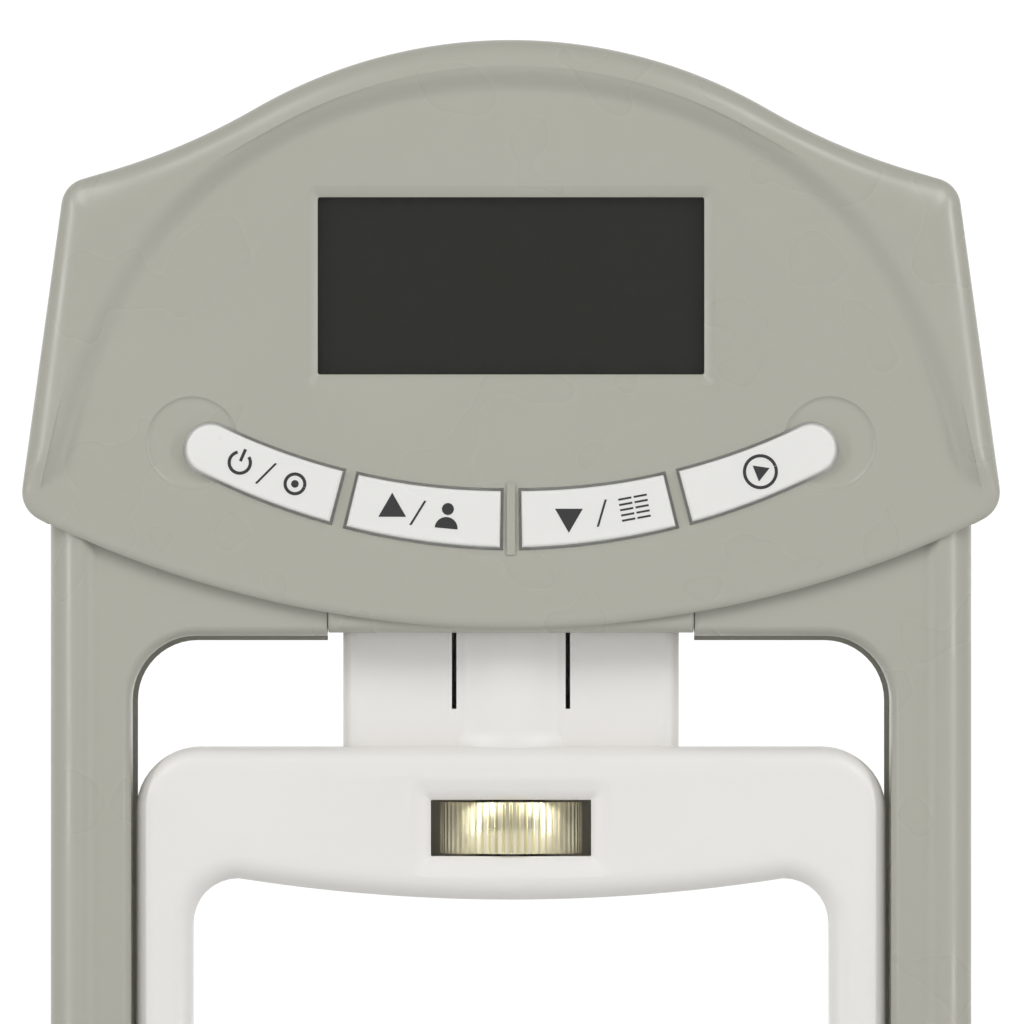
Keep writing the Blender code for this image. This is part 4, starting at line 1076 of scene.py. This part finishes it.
def tongue_body(name):
    """Bowed tongue between the slits, swelling into the grip's face below."""
    rings = []
    steps = 16
    low = KNOB_WINDOW_TOP + 0.2 * MM
    for index in range(steps + 1):
        share = index / steps
        swell = 1 - soft_step(share, 0.3, 1)
        half_width = TONGUE_RADIUS + 1.6 * MM * swell
        depth = TONGUE_RADIUS + (GRIP_HALF_DEPTH + 0.05 * MM - TONGUE_RADIUS) * swell
        rings.append(at_height(tongue_outline(half_width, depth), low + (SWELL_TOP - low) * share))
    rings.append(at_height(tongue_outline(TONGUE_RADIUS, TONGUE_RADIUS), TONGUE_TOP))
    return loft(name, rings)


def knob_window(name):
    """Window for the wheel: chamfered at the front, pocketed behind, narrower at the rear."""
    face = GRIP_HALF_DEPTH
    mouth_plan = (
        (2.9 * MM, face + MM),
        (2.9 * MM, face + MM / 50),
        (2.5 * MM, face - 0.1 * MM),
        (1.3 * MM, face - 0.55 * MM),
        (0.4 * MM, face - 1.05 * MM),
        (0, face - 1.5 * MM),
        (0, face - 4 * MM),
    )
    low = (-KNOB_POCKET_HALF_WIDTH, -KNOB_POCKET_DEPTH, KNOB_WINDOW_BOTTOM)
    high = (KNOB_POCKET_HALF_WIDTH, KNOB_POCKET_DEPTH, KNOB_WINDOW_TOP)
    cutters = [block(f"{name}_pocket", low, high)]
    for side, narrowing in ((-1, 0), (1, KNOB_WINDOW_HALF_WIDTH - KNOB_WINDOW_REAR_HALF_WIDTH)):
        outline_at = partial(knob_window_outline, narrowing=narrowing)
        plan = [(grow, side * depth) for grow, depth in mouth_plan]
        cutters.append(loft_through(f"{name}_mouth_{side}", outline_at, plan))
    return cutters


def grip_bores(name):
    """Ways for the screw and its journal, and pockets for the thrust washers."""
    lower_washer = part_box("thrust_washer_lower")[0]
    upper_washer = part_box("thrust_washer_upper")[1]
    pocket = upper_washer.x + GAP
    screw_end = KNOB_WINDOW_TOP - MM
    journal_end = KNOB_WINDOW_BOTTOM + MM
    made = []
    for label, radius, bottom, top in (
        ("screw_bore", SCREW_RADIUS + GAP, screw_end, CHANNEL_FLOOR + MM),
        ("journal_bore", JOURNAL_RADIUS + GAP, 85.5 * MM, journal_end),
        ("upper_pocket", pocket, screw_end, upper_washer.z + GAP),
        ("lower_pocket", pocket, lower_washer.z - GAP, journal_end),
    ):
        profile = [(radius, bottom), (radius, top)]
        made.append(turned(f"{name}_{label}", profile, (0, 0, 0), (0, 0, 1)))
    return made


def grip_half(name, side):
    grip = grip_shell(name)
    core_low = (-15 * MM, -9 * MM, WINDOW_TOP - WINDOW_DIP + MM)
    core = block(f"{name}_core", core_low, (15 * MM, 9 * MM, GRIP_TOP - MM))
    depth = GRIP_HALF_DEPTH - WALL
    cavity = prism(f"{name}_cavity", grip_outline(WALL + 0.4 * MM), -depth, depth)
    liner = prism(f"{name}_liner", window_outline(WALL + 0.6 * MM), -FAR, FAR)
    cut(cavity, liner, core)
    cut(grip, cavity)
    fuse(grip, guide_body(f"{name}_guide"), tongue_body(f"{name}_tongue"))
    face = GRIP_HALF_DEPTH
    holes = knob_window(f"{name}_knob_window") + grip_bores(name)
    holes.append(flared(f"{name}_window", window_outline, -face, face, 3.4 * MM, 3 * MM))
    reach = TONGUE_RADIUS + SLIT_WIDTH
    top = GUIDE_TOP + MM
    low = (-reach, -CHANNEL_HALF_DEPTH, CHANNEL_FLOOR)
    holes.append(block(f"{name}_channel", low, (reach, CHANNEL_HALF_DEPTH, top)))
    holes.append(block(f"{name}_tongue_end", (-reach, -FAR, TONGUE_TOP), (reach, FAR, top)))
    for sign in (-1, 1):
        left, right = sorted((sign * TONGUE_RADIUS, sign * reach))
        holes.append(block(f"{name}_slit_{sign}", (left, -FAR, SLIT_BOTTOM), (right, 0, top)))
    cut(grip, *holes)
    near, far = sorted((side * SEAM, -side * FAR))
    cut(grip, block(f"{name}_other", (-2 * FAR, near, -FAR), (2 * FAR, far, 6 * FAR)))
    return grip


def grip_front():
    grip = grip_half("grip_front_shell", -1)
    fuse(grip, *rods("grip_post", GRIP_SCREWS, 2.8 * MM, -9 * MM, -SEAM))
    cut(grip, *rods("grip_pilot", GRIP_SCREWS, 1.3 * MM, -7 * MM, FAR))
    finish(grip, "grip", "grip_plastic", "grip_front")


def grip_rear():
    grip = grip_half("grip_rear_shell", 1)
    fuse(grip, *rods("grip_seat", GRIP_SCREWS, 3.2 * MM, SEAM, 9 * MM))
    holes = rods("grip_hole", GRIP_SCREWS, 1.5 * MM, -FAR, FAR)
    holes += counterbores(
        "grip_counterbore", GRIP_SCREWS, 2.5 * MM, 8.4 * MM, 9.6 * MM, 2.8 * MM, 10.1 * MM
    )
    cut(grip, *holes)
    finish(grip, "grip", "grip_plastic", "grip_rear")


# ---------------------------------------------------------------- wheel, screw and washers


def knurled_wheel():
    """Brass wheel with straight knurls, chamfered at both ends, round a plain bore."""
    low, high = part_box("adjusting_knob")
    teeth = 60
    points_per_tooth = 8
    groove_depth = 0.34 * MM
    chamfer = 0.12 * MM

    def rim(base, depth):
        ring = []
        for index, (u, v) in enumerate(circle(1, teeth * points_per_tooth)):
            phase = index % points_per_tooth / points_per_tooth
            radius = base - depth * max(0.0, math.cos(2 * math.pi * phase)) ** 0.8
            ring.append((radius * u, radius * v))
        return ring

    bore = SCREW_RADIUS + GAP
    plan = (
        (bore, 0, low.z),
        (KNOB_RADIUS - chamfer, groove_depth, low.z),
        (KNOB_RADIUS, groove_depth, low.z + chamfer),
        (KNOB_RADIUS, groove_depth, high.z - chamfer),
        (KNOB_RADIUS - chamfer, groove_depth, high.z),
        (bore, 0, high.z),
    )
    rings = [at_height(rim(radius, depth), z) for radius, depth, z in plan]
    wheel = loft("knurled_wheel", rings, endless=True)
    finish(wheel, "adjuster", "brass", "adjusting_knob", sharp=50)


def threaded_screw():
    """Journal, plain neck and an M6 thread of 1 mm pitch."""
    low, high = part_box("adjusting_screw")
    pitch = MM
    thread_depth = 0.55 * MM
    crest = SCREW_RADIUS - 0.05 * MM
    shoulder_z = KNOB_WINDOW_BOTTOM + GAP
    thread_start = KNOB_WINDOW_TOP + 2 * MM
    steps = 36
    rings = []
    for radius, z in (
        (JOURNAL_RADIUS - 0.3 * MM, low.z),
        (JOURNAL_RADIUS, low.z + 0.3 * MM),
        (JOURNAL_RADIUS, shoulder_z),
        (crest, shoulder_z + MM / 50),
        (crest, thread_start),
    ):
        rings.append(at_height(circle(radius, steps), z))
    rings_per_turn = 8
    count = int((high.z - 0.7 * MM - thread_start) / pitch * rings_per_turn)
    for index in range(1, count + 1):
        turns = index / rings_per_turn
        fade = min(turns, (count - index) / rings_per_turn, 1)
        ring = []
        for spoke, (u, v) in enumerate(circle(1, steps)):
            phase = (spoke / steps - turns) % 1
            radius = crest - thread_depth * (1 - abs(2 * phase - 1)) * fade
            ring.append((u * radius, v * radius))
        rings.append(at_height(ring, thread_start + pitch * turns))
    rings.append(at_height(circle(SCREW_RADIUS - 0.6 * MM, steps), high.z))
    screw = loft("threaded_screw", rings)
    finish(screw, "adjuster", "screw_steel", "adjusting_screw", sharp=60)


def thrust_washers():
    for node, bore in (
        ("thrust_washer_upper", SCREW_RADIUS + GAP),
        ("thrust_washer_lower", JOURNAL_RADIUS + GAP),
    ):
        low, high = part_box(node)
        soft = 0.12 * MM
        profile = [
            (bore, low.z),
            (high.x - soft, low.z),
            (high.x, low.z + soft),
            (high.x, high.z - soft),
            (high.x - soft, high.z),
            (bore, high.z),
        ]
        washer = turned(f"{node}_ring", profile, (0, 0, 0), (0, 0, 1), 48, endless=True)
        finish(washer, "grip", "plated_steel", node)


# ---------------------------------------------------------------- fasteners


def cross_head_mesh(name, head_radius, head_height, shank_radius, length):
    """A pan-head screw along +Z with its head's underside at 0 and a cross recess on top."""
    profile = [(0, length), (shank_radius * 0.5, length)]
    profile += [(shank_radius, length - shank_radius), (shank_radius, 0), (head_radius, 0)]
    for reach, rise in roll(7)[1:]:
        profile.append((head_radius * (1 - 0.38 * reach), -head_height * (0.3 + 0.7 * rise)))
    profile.append((0, -head_height))
    screw = turned(name, profile, (0, 0, 0), (0, 0, 1), 40)
    slots = []
    long = head_radius * 0.62
    narrow = head_radius * 0.13
    plan = ((1, -head_height - MM), (1, -head_height * 0.75), (0.45, 0.1 * MM))
    for label, x, y in (("a", long, narrow), ("b", narrow, long)):
        rings = []
        for share, z in plan:
            rings.append(at_height(bar_shape((-x * share, -y * share), (x * share, y * share)), z))
        slots.append(loft(f"{name}_slot_{label}", rings))
    fuse(slots[0], slots[1])
    cut(screw, slots[0])
    mesh = screw.data
    bpy.data.objects.remove(screw)
    return mesh


def cross_head_screws(prefix, places, body, head_radius, head_height, shank_radius, length):
    """Screws along Y, each turned to its own angle."""
    mesh = cross_head_mesh(f"{prefix}_pattern", head_radius, head_height, shank_radius, length)
    face_rear = Vector((0, -1, 0)).to_track_quat("Z", "Y").to_matrix().to_4x4()
    for order, (label, x, z) in enumerate(both_sides(places)):
        node = f"{prefix}_{label}"
        head_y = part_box(node)[1].y - head_height
        spin = Matrix.Rotation(-math.radians(25 + 47 * order), 4, "Y")
        screw = add_object(f"{node}_cross_head", mesh.copy())
        screw.data.transform(Matrix.Translation((x, head_y, z)) @ spin @ face_rear)
        finish(screw, body, "screw_steel", node)


def all_screws():
    for prefix, places, body, *sizes in (
        ("head_screw", HEAD_SCREWS, "housing", 2.5 * MM, 1.2 * MM, 1.2 * MM, 22 * MM),
        ("frame_screw", FRAME_SCREWS, "housing", 2.5 * MM, 1.1 * MM, 1.2 * MM, 18 * MM),
        ("grip_screw", GRIP_SCREWS, "grip", 2.1 * MM, 1.1 * MM, MM, 14 * MM),
    ):
        cross_head_screws(prefix, places, body, *sizes)


# ---------------------------------------------------------------- keys


def keys():
    flange = 0.7 * MM
    edge = 0.45 * MM
    shoulder = KEY_BACK - 0.5 * MM
    plan = [(flange, KEY_BACK), (flange, shoulder), (0, shoulder)]
    plan += [(-edge * reach, KEY_FRONT + edge * (1 - rise)) for reach, rise in roll(5)]
    plan.append((-edge - 0.2 * MM, KEY_FRONT))
    for name, body, outline_at in key_plan():
        finish(loft_through(f"{name}_cap", outline_at, plan), body, "key_plastic", name)


def slash_shape(half_height):
    lean = 0.9 * MM
    foot = lean - 0.3 * MM
    return [(-lean, -half_height), (-foot, -half_height), (lean, half_height), (foot, half_height)]


def triangle_shape(size, pointing):
    return arc(0, 0, size, pointing, pointing + 240, 2)


def ring_shape(radius, thickness, start, end):
    outer = arc(0, 0, radius, start, end, 30)
    return outer + arc(0, 0, radius - thickness, end, start, 30)


def page_shapes():
    """Two ruled pages side by side."""
    shapes = []
    for side in (-1, 1):
        left, right = sorted((side * 0.15 * MM, side * 1.9 * MM))
        for level in range(5):
            z = (-1.5 + 0.7 * level) * MM
            shapes.append(bar_shape((left, z), (right, z + 0.26 * MM)))
    return shapes


def symbol(name, body, angle, shapes):
    """Ink on a key: flat shapes standing on its face, turned to follow the row."""
    turn = math.radians(angle)
    centre = Vector((KEY_RADIUS * math.sin(turn), KEY_CENTRE_Z - KEY_RADIUS * math.cos(turn)))
    along = Vector((math.cos(turn), math.sin(turn)))
    up = Vector((-math.sin(turn), math.cos(turn)))
    points = []
    faces = []
    for shape in shapes:
        outline = [centre + along * u + up * v for u, v in shape]
        ink, sides = skin([at_depth(outline, KEY_FRONT + y) for y in (-INK, 2 * INK)])
        faces += [tuple(len(points) + corner for corner in face) for face in sides]
        points += ink
    finish(add_mesh(name, points, faces), body, "inner_plastic")


def key_symbols():
    """Generic signs: power and settings, up and user, down and memory, start."""
    line = 0.42 * MM
    slash = [slash_shape(1.7 * MM)]
    stem = bar_shape((-0.2 * MM, 0.2 * MM), (0.2 * MM, 1.9 * MM))
    power = [ring_shape(1.6 * MM, line, 125, 415), stem]
    dial = [ring_shape(1.5 * MM, line, 0, 359), ring_shape(0.5 * MM, 0.49 * MM, 0, 359)]
    user = [arc(0, 0.95 * MM, 0.8 * MM, 0, 330, 11), arc(0, -1.6 * MM, 1.5 * MM, 0, 180, 16)]
    start = [triangle_shape(1.3 * MM, 0), ring_shape(2.3 * MM, line, 0, 359)]
    for name, body, angle, shapes in (
        ("power_symbol", "power_key", -23.6, power),
        ("power_slash", "power_key", -21.2, slash),
        ("settings_symbol", "power_key", -18.6, dial),
        ("up_symbol", "up_key", -10.1, [triangle_shape(2.1 * MM, 100)]),
        ("up_slash", "up_key", -7.9, slash),
        ("user_symbol", "up_key", -5.4, user),
        ("down_symbol", "down_key", 4.9, [triangle_shape(2.1 * MM, 265)]),
        ("down_slash", "down_key", 7.7, slash),
        ("memory_symbol", "down_key", 10.5, page_shapes()),
        ("start_symbol", "start_key", 21.6, start),
    ):
        symbol(name, body, angle, shapes)


# ---------------------------------------------------------------- battery bay


def wire(name, points, radius, sides=12):
    """A round wire of one smooth run, its rings twisted as little as possible."""
    points = [Vector(point) for point in points]
    aside = (points[1] - points[0]).orthogonal()
    rings = []
    for index, point in enumerate(points):
        before = points[max(index - 1, 0)]
        after = points[min(index + 1, len(points) - 1)]
        along = (after - before).normalized()
        aside = (aside - along * aside.dot(along)).normalized()
        across = along.cross(aside)
        rings.append([point + aside * u + across * v for u, v in circle(radius, sides)])
    return loft(name, rings)


def battery_cells():
    for node, side in (("battery_lower", 1), ("battery_upper", -1)):
        low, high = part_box(node)
        radius = (high.z - low.z) / 2
        middle = (low + high) / 2
        tip = high.x if side > 0 else low.x
        nub = 0.8 * MM
        length = high.x - low.x
        soft = 0.5 * MM
        profile = [(0, 0), (1.5 * MM, 0), (1.9 * MM, -0.25 * MM), (1.9 * MM, -nub)]
        profile += [(radius - 1.1 * MM, -nub), (radius - 0.9 * MM, -nub + 0.12 * MM)]
        profile += [(radius - soft, -nub + 0.05 * MM), (radius, -nub - soft)]
        profile += [(radius, -length + soft), (radius - soft, -length), (0, -length)]
        cell = turned(f"{node}_cell", profile, (tip, middle.y, middle.z), (side, 0, 0), 56)
        finish(cell, "housing", "battery_wrap", node)


def contact_springs():
    """Conical springs that press on the cells' flat ends."""
    wire_radius = 0.3 * MM
    turns = 3.5
    steps = 110
    for node, side, centre_z in (
        ("contact_spring_lower", -1, 169.2 * MM),
        ("contact_spring_upper", 1, 179.9 * MM),
    ):
        low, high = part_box(node)
        outer = (high.x if side > 0 else low.x) - side * wire_radius
        inner = (low.x if side > 0 else high.x) + side * wire_radius
        points = []
        for index in range(steps + 1):
            share = index / steps
            angle = 2 * math.pi * turns * share
            radius = (3.3 - 1.5 * share) * MM
            y = CELL_Y + radius * math.cos(angle)
            z = centre_z + radius * math.sin(angle)
            points.append((outer + (inner - outer) * share, y, z))
        spring = wire(f"{node}_coil", points, wire_radius)
        finish(spring, "housing", "plated_steel", node)


def door_outline(shrink):
    low = (-DOOR_HALF_WIDTH + shrink, DOOR_BOTTOM + shrink)
    high = (DOOR_HALF_WIDTH - shrink, DOOR_TOP - shrink)
    return rounded_rectangle(low, high, [1.1 * MM - shrink / 2] * 4, 5)


def thumb_outline(grow):
    low = (-6 * MM - grow, DOOR_TOP - 5 * MM - grow)
    return rounded_rectangle(low, (6 * MM + grow, DOOR_TOP + 2 * MM), [1.6 * MM] * 4, 6)


def battery_door():
    """Panel with two lower hooks, an upper catch, grip grooves and a thumb notch."""
    outer_y = HEAD_HALF_DEPTH
    inner_y = 13.7 * MM
    hook_y = 13.2 * MM
    edge = 0.5 * MM
    half_edge = 0.15 * MM
    plan = ((0, inner_y), (0, outer_y - edge), (half_edge, outer_y - half_edge), (edge, outer_y))
    door = loft_through("battery_door_panel", door_outline, plan)
    hook_top = DOOR_BOTTOM + 1.2 * MM
    catch_low = (-4 * MM, inner_y - 2.4 * MM, DOOR_TOP - 0.9 * MM)
    extras = [block("catch", catch_low, (4 * MM, inner_y + MM, DOOR_TOP - 0.3 * MM))]
    for side in (1, -1):
        left, right = sorted((side * 12 * MM, side * 17 * MM))
        hook_low = (left, hook_y - 1.3 * MM, DOOR_BOTTOM - 1.4 * MM)
        extras.append(block(f"hook_{side}", hook_low, (right, hook_y, hook_top)))
        neck_low = (left, hook_y - MM, DOOR_BOTTOM + 0.2 * MM)
        extras.append(block(f"neck_{side}", neck_low, (right, inner_y + MM, hook_top)))
    fuse(door, *extras)
    notch_plan = (
        (0.5 * MM, outer_y + MM),
        (0.4 * MM, outer_y),
        (0, outer_y - 0.5 * MM),
        (-0.5 * MM, outer_y - 0.8 * MM),
    )
    notches = [loft_through("thumb_notch", thumb_outline, notch_plan)]
    grooves = 7
    for index in range(grooves):
        z = 166.6 * MM + index * 1.5 * MM
        groove = rounded_rectangle((-7 * MM, z), (7 * MM, z + 0.6 * MM), [0.28 * MM] * 4, 4)
        notches.append(prism(f"groove_{index}", groove, outer_y - 0.3 * MM, FAR))
    cut(door, *notches)
    finish(door, "door", "housing_plastic", "battery_door")


# ---------------------------------------------------------------- CAD pieces


def dress_cad_nodes():
    """Give every CAD node the finish of the slot that its own material is named after."""
    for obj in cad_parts.values():
        for place in obj.material_slots:
            slot = place.material.name.split(".")[0]
            place.material = PAINT[slot]


# ---------------------------------------------------------------- studio


def studio():
    """A pale floor, a lit background behind the object, two raised softboxes and two side strips."""
    floor = add_object("floor", bpy.data.meshes.new("floor"))
    size = 1.1
    corners = [(-size, -size, 0), (size, -size, 0), (size, size, 0), (-size, size, 0)]
    floor.data.from_pydata(corners, [], [(0, 1, 2, 3)])
    paint = Nodes("floor_paint")
    paint.colour(paint.ramp(paint.noise(3, 3), (0.86, 0.86, 0.86), (0.9, 0.9, 0.9)))
    paint.set("Roughness", 0.6)
    floor.data.materials.append(paint.material)

    world = bpy.data.worlds.new("studio")
    world.use_nodes = True
    tree = world.node_tree
    sky = tree.nodes["Background"]
    sky.inputs["Color"].default_value = (1.0, 1.0, 1.0, 1)
    direction = tree.nodes.new("ShaderNodeTexCoord").outputs["Generated"]
    along = tree.nodes.new("ShaderNodeSeparateXYZ")
    tree.links.new(direction, along.inputs["Vector"])
    glow = tree.nodes.new("ShaderNodeMapRange")
    glow.interpolation_type = "SMOOTHSTEP"
    glow.inputs["From Min"].default_value = 0.2
    glow.inputs["From Max"].default_value = 0.9
    glow.inputs["To Min"].default_value = ROOM_LIGHT
    glow.inputs["To Max"].default_value = BACKGROUND_LIGHT
    tree.links.new(along.outputs["Y"], glow.inputs["Value"])
    tree.links.new(glow.outputs["Result"], sky.inputs["Strength"])
    bpy.context.scene.world = world

    def softbox(name, place, width, height, power):
        light = bpy.data.lights.new(name, "AREA")
        light.shape = "RECTANGLE"
        light.size = width
        light.size_y = height
        light.energy = power
        obj = add_object(name, light)
        obj.location = place
        obj.rotation_euler = (LOOK_AT - Vector(place)).to_track_quat("-Z", "Y").to_euler()

    for side in (-1, 1):
        softbox(f"key_softbox_{side}", (side * 0.7, -0.9, 1.0), 0.45, 0.6, KEY_POWER)
        softbox(f"strip_softbox_{side}", (side * 1.05, -0.62, 0.2), 0.12, 1.1, STRIP_POWER)

    camera = bpy.data.cameras.new("camera")
    camera.sensor_width = 36
    camera.lens = camera.sensor_width * (CAMERA_DISTANCE - FRAME_HALF_DEPTH) / VIEW_WIDTH
    camera.clip_end = 30
    obj = add_object("camera", camera)
    obj.location = (LOOK_AT.x, -CAMERA_DISTANCE, LOOK_AT.z)
    obj.rotation_euler = (math.pi / 2, 0, 0)
    bpy.context.scene.camera = obj
    bpy.context.scene.view_settings.view_transform = "Standard"
    bpy.context.scene.view_settings.look = "None"


studio()
dress_cad_nodes()
head_cover()
head_back()
frame_front()
frame_rear()
guide_bush()
grip_front()
grip_rear()
knurled_wheel()
threaded_screw()
thrust_washers()
all_screws()
keys()
key_symbols()
battery_cells()
contact_springs()
battery_door()
